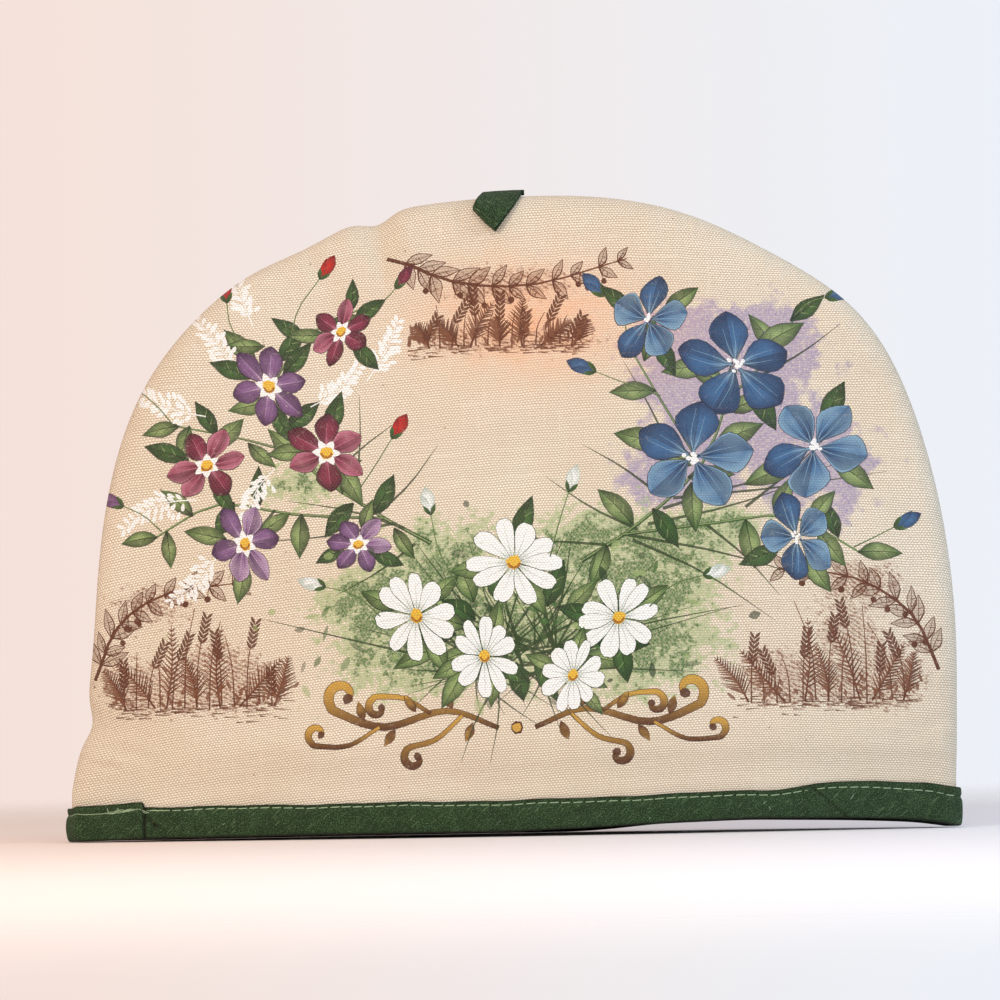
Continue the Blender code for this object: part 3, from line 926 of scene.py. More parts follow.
def gold_scrolls(art):
    """Curling tendrils to both sides under the posy."""
    for way in (-1, 1):
        foot = np.array((2 + way * 7, 40))
        for places, coil, width in (
            (((0, 0), (20, 7), (44, 1), (62, 7)), 6.8, 3.6), (((14, 5), (24, -4), (34, -7)), -4.8, 2.8),
            (((26, 6), (36, 12), (46, 13)), -4.6, 2.6), (((46, 1), (58, -6), (70, -6)), 4.6, 2.5),
        ):
            tendril(art, [foot + np.array((way * x, z)) for x, z in places], way * coil, width)
        for x, z, turn in ((18, 8, 1.2), (32, 7, 1.0), (40, 0, -1.0), (52, 4, 1.3), (10, 2, -1.2)):
            turn = turn if way > 0 else math.pi - turn
            start = foot + np.array((way * x, z))
            art.petal(start, turn, 7.5, 3.2, (BROWN, GOLD), (0.9, 0.9), edge=BROWN, rim=BROWN)
    art.dot((2, 40), 2.6, BROWN)
    art.dot((2, 40), 1.9, GOLD)


def garden_print():
    """The whole front: a garland over the dome, a posy, and drawn meadows in both lower corners."""
    art = Print(7)
    sepia_bough(art, [(-46, 226), (-20, 214), (12, 212), (48, 222)], 12, 12, 8)
    sepia_meadow(art, -38, 34, 188, 20, 1)
    sepia_bough(art, [(-164, 62), (-154, 82), (-134, 94), (-104, 98)], 11.5, 10, 7)
    sepia_meadow(art, -160, -84, 50, 34, 1)
    sepia_bough(art, [(167, 60), (156, 82), (134, 96), (104, 100)], 11.5, 11, 7)
    sepia_meadow(art, 84, 162, 48, 36, -1)
    left_limb(art)
    right_limb(art)
    gold_scrolls(art)
    posy(art)
    return art


# Middle x and z, and half size across and up, of the dabs of each wash.
MAUVE_DABS = ((88, 170, 34, 32), (66, 188, 22, 20), (122, 138, 26, 24), (104, 192, 20, 17), (62, 138, 22, 18))
GREEN_DABS = (
    (2, 80, 54, 24), (-42, 74, 28, 20), (54, 72, 32, 20), (30, 114, 28, 16), (62, 104, 26, 15),
    (-26, 110, 22, 15), (-58, 94, 16, 11), (-80, 138, 22, 12), (84, 120, 22, 8),
)
BLUSH_DABS = ((10, 200, 42, 22),)
THICKET_DABS = (
    (-150, 62, 14, 12), (-126, 56, 24, 9), (-98, 60, 14, 10), (-116, 70, 15, 11), (-140, 92, 20, 9),
    (150, 60, 12, 14), (126, 54, 28, 9), (100, 62, 14, 11), (130, 76, 15, 13), (136, 97, 22, 9),
    (-20, 192, 20, 6), (20, 192, 22, 6), (0, 214, 34, 8),
)


def wash_fields(x, z):
    """How strongly the loose washes lie here: mauve, green, blush and drawn thickets."""
    fields = []
    for dabs in (MAUVE_DABS, GREEN_DABS, BLUSH_DABS, THICKET_DABS):
        field = sum(
            np.exp(-(((x - middle_x) / wide) ** 2) - ((z - middle_z) / high) ** 2)
            for middle_x, middle_z, wide, high in dabs
        )
        fields.append(np.clip(field, 0, 1.2))
    return np.column_stack(fields)


# --- The two panels ---


def seam_angles(spacing):
    """Angles round the dome an even way apart along the seam, right foot to left foot."""
    dense = np.linspace(0, math.pi, 4001)
    x, z = dome_ray(dense)
    length = running_length(np.hypot(np.diff(x), np.diff(z)))
    count = int(round(length[-1] / spacing))
    return np.interp(np.linspace(0, length[-1], count + 1), length, dense)


def foot_places(spacing):
    """x along the foot of a panel, between its two ends, left to right."""
    inner = HALF_WIDTH - PADDING_ROLL
    count = int(round(2 * inner / spacing))
    middle = np.linspace(-inner, inner, count + 1)
    right = HALF_WIDTH - np.array(RING_INSETS[-2:0:-1])
    return DOME_OFFSET + np.concatenate((-right[::-1], middle, right))


def inner_places(spacing, inset, outset=1000.0):
    """Evenly spread flat points between inset and outset from the seam."""
    rows = np.arange(spacing * 0.8, DOME_HEIGHT, spacing * 0.866)
    found = []
    for number, height in enumerate(rows):
        x = np.arange(-HALF_WIDTH, HALF_WIDTH + 12, spacing) + (spacing / 2 if number % 2 else 0.0)
        z = np.full_like(x, height)
        across = np.abs((x - dome_middle(z)) / HALF_WIDTH)
        inside = across**DOME_SQUARENESS + (z / DOME_HEIGHT) ** DOME_SQUARENESS < 1
        x, z = x[inside], z[inside]
        reach, angle = dome_place(x, z)
        from_seam = (1 - reach) * np.hypot(*dome_ray(angle))
        keep = (from_seam > inset) & (from_seam <= outset)
        found.append(np.column_stack((x[keep], z[keep])))
    return np.concatenate(found)


def triangulated(border, loose, outlines):
    """Triangles over the border's inside that follow every outline.

    Gives the flat points, the triangles, for each border point its number among them, and for each
    outline the numbers of the triangles in it.
    """
    points, edges = [], []
    for outline in [border, *outlines]:
        start, count = len(points), len(outline)
        points.extend(Vector(point) for point in outline)
        edges.extend((start + number, start + (number + 1) % count) for number in range(count))
    points.extend(Vector(point) for point in loose)
    found, _, triangles, sources, _, _ = delaunay_2d_cdt(points, edges, [], 0, 1e-3, True)
    numbers = {}
    for number, merged in enumerate(sources):
        for source in merged:
            if source < len(border):
                numbers[source] = number
    flat = np.array([(point.x, point.y) for point in found])
    triangles = np.array(triangles)
    triangles = triangles[within(flat[triangles].mean(axis=1), border)]
    centres = flat[triangles].mean(axis=1)
    order = np.argsort(centres[:, 0])
    ordered = centres[order]
    insides = []
    for outline in outlines:
        low, high = outline.min(axis=0), outline.max(axis=0)
        first, last = np.searchsorted(ordered[:, 0], (low[0], high[0]))
        near = order[first:last]
        near = near[(centres[near, 1] > low[1]) & (centres[near, 1] < high[1])]
        insides.append(near[within(centres[near], outline)] if len(near) else near)
    return flat, triangles, [numbers[number] for number in range(len(border))], insides


def within(places, outline):
    """Whether places lie inside an outline."""
    turns = np.zeros(len(places), int)
    x, z = places[:, 0], places[:, 1]
    for (x1, z1), (x2, z2) in zip(outline, np.roll(outline, -1, axis=0)):
        if z1 == z2:
            continue
        left_of = (x2 - x1) * (z - z1) - (x - x1) * (z2 - z1)
        turns += (z1 <= z) & (z2 > z) & (left_of > 0)
        turns -= (z2 <= z) & (z1 > z) & (left_of < 0)
    return turns != 0


def used_only(flat, triangles, border):
    """Leaves out points that no triangle uses."""
    used, triangles = np.unique(triangles, return_inverse=True)
    renumber = {old: new for new, old in enumerate(used.tolist())}
    return flat[used], triangles.reshape(-1, 3), [renumber[number] for number in border]


def seen_shapes(insides, art, count):
    """Numbers of the painted shapes that later ones don't hide altogether."""
    hidden = np.zeros(count, bool)
    seen = []
    for number in range(len(insides) - 1, -1, -1):
        inside = insides[number]
        if not len(inside) or hidden[inside].all():
            continue
        seen.append(number)
        if art.paints[number]["cover"] >= 1.0:
            hidden[inside] = True
    return seen[::-1]


def corner_colours(flat, triangles, insides, art):
    """Colour and cover of the print at each corner of each triangle."""
    colours = np.zeros((len(triangles), 3, 4))
    for paint, inside in zip(art.paints, insides):
        if not len(inside):
            continue
        corners = flat[triangles[inside]].reshape(-1, 2)
        fresh = paint_colour(paint, corners).reshape(-1, 3, 3)
        before = colours[inside]
        cover = paint["cover"]
        total = cover + before[..., 3:] * (1 - cover)
        mixed = (fresh * cover + before[..., :3] * before[..., 3:] * (1 - cover)) / np.maximum(total, 1e-6)
        colours[inside] = np.concatenate((mixed, total), axis=-1)
    return colours


def seam_border(spacing):
    """Angles along the seam, and a panel's flat border: round the seam, then along the foot."""
    angles = seam_angles(spacing)
    seam_x, seam_z = plain_point(np.ones_like(angles), angles)
    foot = foot_places(spacing)
    return angles, np.column_stack((np.append(seam_x, foot), np.append(seam_z, np.zeros_like(foot))))


def canvas_plan(spacing, angles, border, art):
    """Flat points, triangles and border numbers of the canvas, and the triangles of each shape."""
    length = np.hypot(*dome_ray(angles[1:-1]))
    rings = [np.column_stack(plain_point(1 - inset / length, angles[1:-1])) for inset in RING_INSETS[1:]]
    fine = inner_places(spacing, PADDING_ROLL + 0.6 * spacing, FINE_BAND)
    coarse = inner_places(COARSER * spacing, FINE_BAND + 0.8 * spacing)
    loose = np.concatenate((*rings, fine, coarse))
    if art is not None:
        # Shapes that others hide altogether are left out, so they take no points.
        _, triangles, _, insides = triangulated(border, loose, art.outlines)
        art.keep_only(seen_shapes(insides, art, len(triangles)))
    flat, triangles, edge, insides = triangulated(border, loose, art.outlines if art else [])
    return (*used_only(flat, triangles, edge), insides)


def lining_plan(border):
    """Flat points, triangles and border numbers of the lining."""
    loose = inner_places(LINING_SPACING, PADDING_ROLL + LINING_SPACING / 2)
    return used_only(*triangulated(border, loose, [])[:3])


def turned_edge(angles, seam_outer, seam_inner, seam_places):
    """Two rows of points from canvas to lining, and their places on the cloth."""
    outward = unit(np.column_stack(dome_ray(angles)))
    across = np.linalg.norm(seam_inner - seam_outer, axis=1)[:, None]
    rows, places = [], []
    # Share of the way across, and how far the edge dips in there.
    for share, dip in ((0.3, 0.5), (0.7, 0.8)):
        row = seam_outer + (seam_inner - seam_outer) * share
        row[:, ::2] -= outward * dip
        rows.append(row)
        places.append(seam_places + outward * across * share)
    return rows, places


def closing_faces(bands, outer, lining):
    """Faces across the bands of the seam, and from canvas to lining along the foot."""
    faces = []
    for first, second in zip(bands, bands[1:]):
        faces += [(b, a, d, c) for a, b, c, d in zip(first, first[1:], second[1:], second)]
    faces += [(b, a, d, c) for a, b, c, d in zip(outer[1:-1], outer[2:-1], lining[2:-1], lining[1:-1])]
    faces.append((outer[1], outer[0], bands[1][-1], bands[2][-1], lining[0], lining[1]))
    faces.append((outer[-1], outer[-2], lining[-2], lining[-1], bands[2][0], bands[1][0]))
    return faces


def paint_panel(mesh, flat, triangles, insides, art):
    """Keeps the print and the washes on the canvas's corners and points, which come first."""
    printed = corner_colours(flat, triangles, insides, art).reshape(-1, 4)
    colours = np.zeros((len(mesh.loops), 4), np.float32)
    colours[: len(printed)] = printed
    store(mesh, "print", "FLOAT_COLOR", colours, "CORNER")
    washes = np.zeros((len(mesh.vertices), 4), np.float32)
    washes[: len(flat)] = wash_fields(flat[:, 0], flat[:, 1] + PANEL_FOOT)
    store(mesh, "washes", "FLOAT_COLOR", washes)


def build_panel(name, side, spacing, art, materials):
    """One padded wall: outer canvas, turned seam edge, lining and foot, closed."""
    angles, border = seam_border(spacing)
    count = len(angles)
    flat, triangles, edge, insides = canvas_plan(spacing, angles, border, art)
    reach, angle = dome_place(*flat.T)
    outer = canvas_points(reach, angle, side)
    lining_flat, lining_triangles, lining_edge = lining_plan(border)
    lining = lining_points(*dome_place(*lining_flat.T), side)

    seam_outer, seam_inner = outer[edge[:count]], lining[lining_edge[:count]]
    seam_places = np.column_stack(cloth_places(*border[:count].T))
    rows, row_places = turned_edge(angles, seam_outer, seam_inner, seam_places)
    points = np.concatenate((outer, lining, *rows))
    places = np.concatenate((np.column_stack(cloth_places(*flat.T)), lining_flat, *row_places))

    lining_edge = [number + len(outer) for number in lining_edge]
    first_row = len(outer) + len(lining)
    middle = [list(range(start, start + count)) for start in (first_row, first_row + count)]
    faces = triangles.tolist() + (lining_triangles[:, ::-1] + len(outer)).tolist()
    faces += closing_faces(
        [edge[:count], *middle, lining_edge[:count]], edge[count - 1 :] + edge[:1],
        lining_edge[count - 1 :] + lining_edge[:1],
    )
    if side == BACK:
        faces = [face[::-1] for face in faces]
    piece = new_piece(name, points, faces, materials)
    mesh = piece.data
    slots = np.zeros(len(faces), np.int32)
    slots[len(triangles) : len(triangles) + len(lining_triangles)] = 1
    mesh.polygons.foreach_set("material_index", slots)
    store_cloth(mesh, places)
    normals = np.zeros(len(points) * 3, np.float32)
    mesh.vertex_normals.foreach_get("vector", normals)
    normals = normals.reshape(-1, 3)
    normals[: len(outer)] = canvas_normals(reach, angle, side)
    mesh.normals_split_custom_set_from_vertices(normals.tolist())
    if art is not None:
        paint_panel(mesh, flat, triangles, insides, art)
    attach(piece, "root")
    return piece


# --- The binding ---


def foot_stations():
    """Signed reaches along the foot, left to right, close together at the ends and at the lap."""
    inner = HALF_WIDTH - PADDING_ROLL
    even = np.arange(-inner, inner, 1.1)
    ends = HALF_WIDTH - np.array(RING_INSETS)
    lap = LAP_END - DOME_OFFSET + np.array((-1.2, -0.8, -0.5, -0.3, -0.15, -0.05, 0, 0.05, 0.2, 0.5, 0.9))
    join = np.arange(110, 136, 0.45)
    even = even[(even < join[0]) | (even > join[-1])]
    even = even[(even < lap[0]) | (even > lap[-1])]
    stations = np.unique(np.round(np.concatenate((even, ends, -ends, lap, join)), 4))
    keep = np.concatenate(([True], np.diff(stations) > 0.03))
    return stations[keep] / HALF_WIDTH


def foot_wall(stations, side):
    """The outer face's foot in plan at signed reaches."""
    angle = np.where(stations < 0, math.pi, 0.0)
    reach = np.abs(stations)
    x, _ = flat_point(reach, angle)
    return np.column_stack((x, side * canvas_depth(reach, angle, side)))


class BindingPath:
    """The foot of both panels in plan, once round, counter-clockwise seen from above."""

    def __init__(self):
        stations = foot_stations()
        self.stations = np.concatenate((stations, stations[::-1]))
        self.sides = np.repeat((FRONT, BACK), len(stations))
        self.wall = np.concatenate((foot_wall(stations, FRONT), foot_wall(stations[::-1], BACK)))
        ahead, behind = np.roll(self.wall, -1, axis=0), np.roll(self.wall, 1, axis=0)
        along = ahead - behind
        self.normals = unit(np.column_stack((along[:, 1], -along[:, 0])))
        steps = np.linalg.norm(self.wall - behind, axis=1)
        self.round = float(steps.sum())
        steps[0] = 0
        self.lengths = np.cumsum(steps)
        self.half = self.lengths[len(stations) - 1]

    def length_at(self, x):
        """Length along the front at this x."""
        front = self.sides == FRONT
        return float(np.interp(x, self.wall[front, 0], self.lengths[front]))

    def face_at(self, lengths, below_top=None, z=None):
        """Points of the binding's outer face and the ways out of it."""
        lengths = np.atleast_1d(np.asarray(lengths, float)) % self.round
        marks = np.append(self.lengths, self.round)
        plan = np.column_stack(
            [np.interp(lengths, marks, np.append(band, band[0])) for band in (*self.wall.T, *self.normals.T)]
        )
        wall, normals = plan[:, :2], unit(plan[:, 2:])
        sides = np.where(lengths <= self.half, FRONT, BACK)
        z = binding_top(wall[:, 0], sides) - below_top if z is None else z + np.zeros_like(lengths)
        thickness = BINDING_THICKNESS * (1 + lap_share(wall[:, 0], sides))
        out = BINDING_CLEARANCE + thickness + binding_relief(wall[:, 0], z, sides)
        spot = wall + normals * out[:, None]
        points = settled(*spot.T, z)
        return points, np.column_stack((normals, np.zeros(len(normals))))


def lap_share(x, side):
    """1 where the binding's end lies over its start, 0 elsewhere."""
    end = smooth_step(LAP_END + 0.05, LAP_END - 0.5, x) ** 0.5
    start = smooth_step(LAP_START - 0.5, LAP_START + 2.5, x)
    return np.where(side == FRONT, end * start, 0.0)


def binding_top(x, side):
    wider = smooth_step(*BINDING_WIDENS, x) * (BINDING_HEIGHT_RIGHT - BINDING_HEIGHT)
    rise = 0.8 + 1.3 * (x - LAP_START) / (LAP_END - LAP_START)
    left_end = 0.2 * smooth_step(-160, -173, x) - 0.6 * smooth_step(160, 172, x)
    uneven = 0.16 * np.sin(x / 9.5) + 0.12 * np.sin(x / 4.1 + side) + 0.1 * np.sin(x / 23.0 + 2)
    return BINDING_HEIGHT + wider + left_end + lap_share(x, side) * (rise - left_end) + uneven


# Wrinkles of the binding in front, which are also darkened with painted shade: x and z of both ends, half
# width and depth.
BINDING_FOLDS = (
    (-141.5, 9, -137.5, 2, 0.8, 0.85), (-139.5, 6, -133.5, 1.6, 0.7, 0.75),
    (-138.5, 9.5, -134.5, 5, 0.8, 0.45), (-150, 12, -147, 3, 1.2, 0.2), (-163, 9, -158, 2, 1.4, 0.2),
    (-96, 10, -91, 1, 1.5, 0.18), (-52, 11, -49, 2, 1.4, 0.14), (-8, 11, -2, 2, 1.6, 0.18),
    (40, 12, 43, 2, 1.4, 0.14), (84, 12, 90, 2, 1.5, 0.2), (104, 12, 110, 3, 1.2, 0.2),
    (146, 13, 151, 2, 1.3, 0.25), (161, 13, 166, 3, 1.2, 0.35), (168, 14, 172.5, 5, 1.1, 0.35),
)
JOIN_TOP = (116.6, 12.4)
JOIN_FOOT = (127.5, 1.6)
# How far the topstitches run below the fold, by x.
STITCH_DROP = (
    (-173, 2.7), (-163, 3.5), (-155, 3.1), (-144, 2.7), (-142, 1.3), (-100, 1.25), (-40, 1.5), (0, 1.75),
    (90, 2), (126, 2.5), (150, 3), (173, 3.8),
)


def stitch_drop(x):
    return np.interp(x, *zip(*STITCH_DROP))


def join_offset(x, z):
    """Distance to the right of the slanting join."""
    across, up = unit(np.subtract(JOIN_FOOT, JOIN_TOP))
    return (z - JOIN_TOP[1]) * across - (x - JOIN_TOP[0]) * up


def binding_relief(x, z, side):
    """How far the binding's outer face stands proud of its plain place."""
    top = binding_top(x, side)
    drop = stitch_drop(x)
    body = np.clip(z / np.maximum(top - drop, 1), 0, 1)
    puff = 0.55 * np.sin(math.pi * body) - 0.5 * bell(z - (top - drop), 0.75)
    puff = puff + 0.16 * np.sin(x / 3.3) * np.sin(x / 7.7 + z / 3) + 0.12 * np.sin(x / 13.0 + z / 5)
    off = join_offset(x, z)
    front = fold_depth(x, z, BINDING_FOLDS) + 0.6 * bell(x - (LAP_END + 0.5), 0.5)
    front = front + 0.5 * bell(off, 0.4) - 0.34 * smooth_step(0, 0.7, off) * smooth_step(8, 5, off)
    return puff - np.where(side == FRONT, front, 0.0)


def outer_profile(top):
    """(inset from the outer face, height) from the floor up over the top fold and into the slot."""
    low = ((0.95, 0.0), (0.55, 0.12), (0.22, 0.38), (0.06, 0.75), (0.0, 1.2))
    high = [(0, z) for z in np.linspace(1.9, top - 0.8, 18)]
    over = ((0.03, top - 0.5), (0.14, top - 0.2), (0.36, top - 0.04), (0.6, top))
    down = ((0.88, top - 0.08), (1.1, top - 0.35), (1.2, top - 0.8), (1.2, top - 4.0), (1.2, BINDING_FLOOR))
    return np.array((*low, *high, *over, *down))


# Share of the way through the inner leg, and height, from the slot's floor over the leg's edge.
INNER_PROFILE = np.array(
    (
        (0.0, BINDING_FLOOR), (0.0, 4.0), (0.0, BINDING_INSIDE_HEIGHT - 0.8),
        (0.08, BINDING_INSIDE_HEIGHT - 0.3), (0.5, BINDING_INSIDE_HEIGHT),
        (0.92, BINDING_INSIDE_HEIGHT - 0.3), (1.0, BINDING_INSIDE_HEIGHT - 0.8), (1.0, 7.0), (1.0, 4.0),
        (1.0, 1.4), (0.9, 0.6), (0.6, 0.1), (0.2, 0.0),
    )
)


def inner_leg(station, side, thickness):
    """A point of the inner leg in plan, as thick as this."""
    x = station * (INSIDE_END - thickness)
    depth = lining_depth(abs(x) / HALF_WIDTH) - BINDING_CLEARANCE - thickness
    return np.array((x + DOME_OFFSET, side * depth))


def build_binding(material):
    """A ring of U-shaped sections: outer leg with its fold, floor, and inner leg."""
    path = BindingPath()
    shell = Shell()
    sections, darker = [], []
    for station, side, wall, normal, length in zip(
        path.stations, path.sides, path.wall, path.normals, path.lengths
    ):
        x = wall[0]
        thickness = BINDING_THICKNESS * (1 + lap_share(x, side))
        top = float(binding_top(x, side))
        inset, z = outer_profile(top).T
        outer = inset < 1.0
        relief = binding_relief(np.full(len(z), x), z, side) * (1 - inset) * smooth_step(0, 1, z)
        out = BINDING_CLEARANCE + np.where(outer, thickness - inset + relief, BINDING_THICKNESS - inset)
        plan = wall + np.outer(np.maximum(out, 0.05), normal)
        low, high = inner_leg(station, side, 0.0), inner_leg(station, side, BINDING_THICKNESS)
        inner = low + np.outer(INNER_PROFILE[:, 0], high - low)
        plan = np.concatenate((plan, inner))
        heights = np.concatenate((z, INNER_PROFILE[:, 1]))
        run = running_length(np.hypot(np.diff(inset), np.diff(z)))
        run = np.concatenate((run, run[-1] + 1.5 * np.arange(1, len(inner) + 1)))
        places = np.column_stack((np.full(len(run), length), run))
        sections.append(shell.add(settled(*plan.T, heights), places))
        # Painted shade: in front, the binding is darkened along the slanting join, at the lap's end and in
        # its wrinkles, and all round in a dark line along its top and bottom folds.
        seam = 0.7 * bell(join_offset(x, z), 0.35) + bell(x - (LAP_END + 0.35), 0.5)
        seam = seam + 0.7 * fold_depth(np.full(len(z), x), z, BINDING_FOLDS)
        seam = np.where(outer & (side == FRONT), seam, 0.0)
        edge = smooth_step(top - 0.75, top - 0.15, z) + smooth_step(1.1, 0.2, z)
        darker.extend(np.clip(seam + 0.8 * edge, 0, 1).tolist() + [0.0] * len(inner))
    for first, second in zip(sections, sections[1:] + sections[:1]):
        shell.strip(second, first, closed=True)
    piece = shell.piece("hem-binding-cloth", [material])
    store(piece.data, "painted_shade", "FLOAT", darker)
    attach(piece, "root")
    return piece


# --- Threads ---


class Threads:
    """Tubes along short curves, all in one mesh."""

    def __init__(self, sides=6):
        self.sides = sides
        self.shell = Shell()

    def add(self, centres, radius):
        """A tube through the centres, narrow at both ends."""
        centres = np.asarray(centres, float)
        along = unit(np.gradient(centres, axis=0))
        across = np.cross(along[0], (0.0, 0.0, 1.0))
        if np.linalg.norm(across) < 0.2:
            across = np.cross(along[0], (1.0, 0.0, 0.0))
        run = running_length(step_lengths(centres))
        turns = np.arange(self.sides) * 2 * math.pi / self.sides
        size = np.ones(len(centres))
        size[[0, -1]] = 0.35
        rings = []
        for number, centre in enumerate(centres):
            across = unit(across - along[number] * (across @ along[number]))
            other = np.cross(along[number], across)
            ring = np.outer(np.cos(turns), across) + np.outer(np.sin(turns), other)
            places = np.column_stack((np.full(self.sides, run[number]), turns))
            rings.append(self.shell.add(centre + radius * size[number] * ring, places))
        for low, high in zip(rings, rings[1:]):
            self.shell.strip(low, high, closed=True)
        self.shell.faces += [tuple(rings[0][::-1]), tuple(rings[-1])]

    def piece(self, name, material):
        piece = self.shell.piece(name, [material])
        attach(piece, "root")
        return piece


def stitch_centres(start, end, out, proud, sink):
    """A stitch that lies on the cloth between two holes it dips into."""
    shares = (0.0, 0.08, 0.22, 0.5, 0.78, 0.92, 1.0)
    lifts = (-sink, -sink * 0.1, proud * 0.75, proud, proud * 0.75, -sink * 0.1, -sink)
    return [start + (end - start) * share + out * lift for share, lift in zip(shares, lifts)]


def build_topstitching(sizes, material):
    """The row of topstitches round the binding, and the tangle where it starts and ends."""
    path = BindingPath()
    chance = random.Random(11)
    threads = Threads()
    radius = sizes.stitch_thread / MM / 2
    pitch = sizes.stitch_pitch / MM

    def stitch(start, end, start_drop, end_drop, proud=0.55, size=1.0):
        (first, last), outs = path.face_at((start, end), np.array((start_drop, end_drop)))
        threads.add(stitch_centres(first, last, outs[0], radius * proud, radius * 1.6), radius * size)

    lap = (path.length_at(STITCH_START), path.length_at(STITCH_END))
    run = np.linspace(1, lap[0] + 3, 26)
    drops = stitch_drop(np.interp(run, path.lengths, path.wall[:, 0])) + 0.1 * np.sin(run * 0.9)
    points, outs = path.face_at(run, drops)
    threads.add(points + outs * radius * 0.4, radius * 0.75)
    length = lap[0]
    while length < path.round - pitch * 0.5:
        x = np.interp(length, path.lengths, path.wall[:, 0])
        drop = float(stitch_drop(x)) + chance.uniform(-0.06, 0.06)
        end = length + pitch * 0.86
        if not (lap[0] - pitch < length < lap[1]):
            stitch(length, end, drop + 0.08, float(stitch_drop(x + 3)) - 0.08)
        length += pitch * chance.uniform(0.95, 1.05)
    for number in range(15):
        start = chance.uniform(*lap) - 1.5
        end = min(start + chance.uniform(2.5, 4.5), lap[1] + 5.5)
        x = STITCH_START + (start - lap[0])
        drop = float(stitch_drop(x)) + chance.uniform(-0.45, 0.35)
        stitch(start, end, drop, drop + chance.uniform(-0.6, 0.4), 0.6 + 0.08 * number, 0.72)
    for number in range(4):
        start = lap[1] + 0.5 + 1.3 * number
        stitch(start, start + 3.2, 1.2 + 0.2 * (number % 2), 1.45 - 0.3 * (number % 2), 0.7)
    for start_x, size, rise in ((STITCH_START + 0.4, 1.5, 1.2), (STITCH_START + 4.5, 1.2, 0.8)):
        loop = []
        for number in range(12):
            turn = number * 0.6
            at = path.length_at(start_x) + number * 0.4 + size * 0.6 * math.cos(turn)
            points, outs = path.face_at(at, 2.6 - size * math.sin(turn) * 0.8)
            loop.append(points[0] + outs[0] * (0.45 + 0.2 * rise * math.sin(turn * 1.7)))
        threads.add(loop, radius * 0.6)
    for x, z, turn, reach in (
        (96.0, 6.5, 0.5, 1.6), (99.0, 4.0, 2.2, 1.2), (52.0, 1.9, 1.0, 0.9), (-112.0, 5.0, 0.3, 1.0),
        (130.0, 8.2, 0.8, 2.4),
    ):
        shares = np.array((0.0, 0.35, 0.7, 1.0))
        along = path.length_at(x) + reach * shares * math.cos(turn)
        points, outs = path.face_at(along, z=z + reach * shares * (math.sin(turn) + 0.3 * shares))
        threads.add(points + outs * (0.1 + 0.4 * shares * (1 - shares))[:, None], radius * 0.5)
    return threads.piece("topstitching", material)


def build_join_stitches(material):
    """Dark green stitches along the binding's slanting join."""
    path = BindingPath()
    threads = Threads(5)
    top, foot = np.array(JOIN_TOP), np.array(JOIN_FOOT)
    length = float(np.linalg.norm(foot - top))
    for share in np.arange(0.05, 0.97, 1.7 / length):
        spots = np.array([top + (foot - top) * part for part in (share, share + 1.1 / length)])
        points, outs = path.face_at([path.length_at(x) for x in spots[:, 0]], z=spots[:, 1])
        threads.add(stitch_centres(points[0], points[1], outs[0], 0.12, 0.2), 0.24)
    return threads.piece("join-stitches", material)


# --- The loop ---


def front_frames(x, z):
    """Points of the front's outer face, and the ways out of it."""
    reach, angle = dome_place(x, z)
    point = canvas_points(reach, angle, FRONT)
    normal = canvas_normals(np.minimum(reach, 0.999), angle, FRONT)
    return point, normal


def build_loop(material):
    """Two layers of folded binding over the front, joined behind the seam and open at the fold."""
    steps = np.concatenate((np.linspace(0, 0.12, 4), np.linspace(0.17, 0.94, 14)))
    shell = Shell()
    left, right = np.array(LOOP_LEFT_EDGE), np.array(LOOP_RIGHT_EDGE)
    rows_out, rows_in = [], []
    half = LOOP_LAYER / 2
    bottom = LOOP_CLEARANCE + half
    for share in 0.5 - 0.5 * np.cos(np.linspace(0, math.pi, 27)):
        start, end = left + (right - left) * share
        flat = start + np.outer(steps, end - start)
        points, normals = front_frames(*flat.T)
        opening = LOOP_OPENING * smooth_step(0.15, 0.9, steps)
        low = points + normals * bottom
        high = points + normals * (bottom + LOOP_LAYER + opening)[:, None]
        behind = np.array((points[0][0], LOOP_ROOT_BACK, points[0][2] + bottom))
        low = np.vstack((behind, low))
        high = np.vstack((behind + (0, 0, LOOP_LAYER), high))
        along = unit(points[-1] - points[-2])
        radius = float(LOOP_LAYER + opening[-1]) / 2
        middle = (low[-1] + high[-1]) / 2
        turns = np.linspace(0, math.pi, 9)[1:-1, None]
        fold = middle - normals[-1] * radius * np.cos(turns) + along * radius * 0.75 * np.sin(turns)
        centre = np.vstack((low, fold, high[::-1]))
        wide = right[0] - left[0]
        outward = unit(np.cross((wide[0], 0.0, wide[1]), unit(np.gradient(centre, axis=0))))
        thin = half * (0.7 + 0.3 * math.sqrt(max(0.0, 1 - (2 * share - 1) ** 8)))
        thin *= 1 - 0.22 * bell(min(share, 1 - share) - 0.13, 0.03)
        run = running_length(step_lengths(centre))
        places = np.column_stack((run, np.full(len(run), share * LOOP_WIDTH)))
        rows_out.append(shell.add(centre + outward * thin, places))
        rows_in.append(shell.add(centre - outward * thin, places))
    for first, second in zip(rows_out, rows_out[1:]):
        shell.strip(second, first)
    for first, second in zip(rows_in, rows_in[1:]):
        shell.strip(first, second)
    shell.strip(rows_out[0], rows_in[0])
    shell.strip(rows_in[-1], rows_out[-1])
    shell.strip([row[0] for row in rows_in], [row[0] for row in rows_out])
    shell.strip([row[-1] for row in rows_out], [row[-1] for row in rows_in])
    piece = shell.piece("loop-cloth", [material])
    store(piece.data, "painted_shade", "FLOAT", np.zeros(len(shell.points)))
    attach(piece, "root")
    return piece


# --- Materials ---


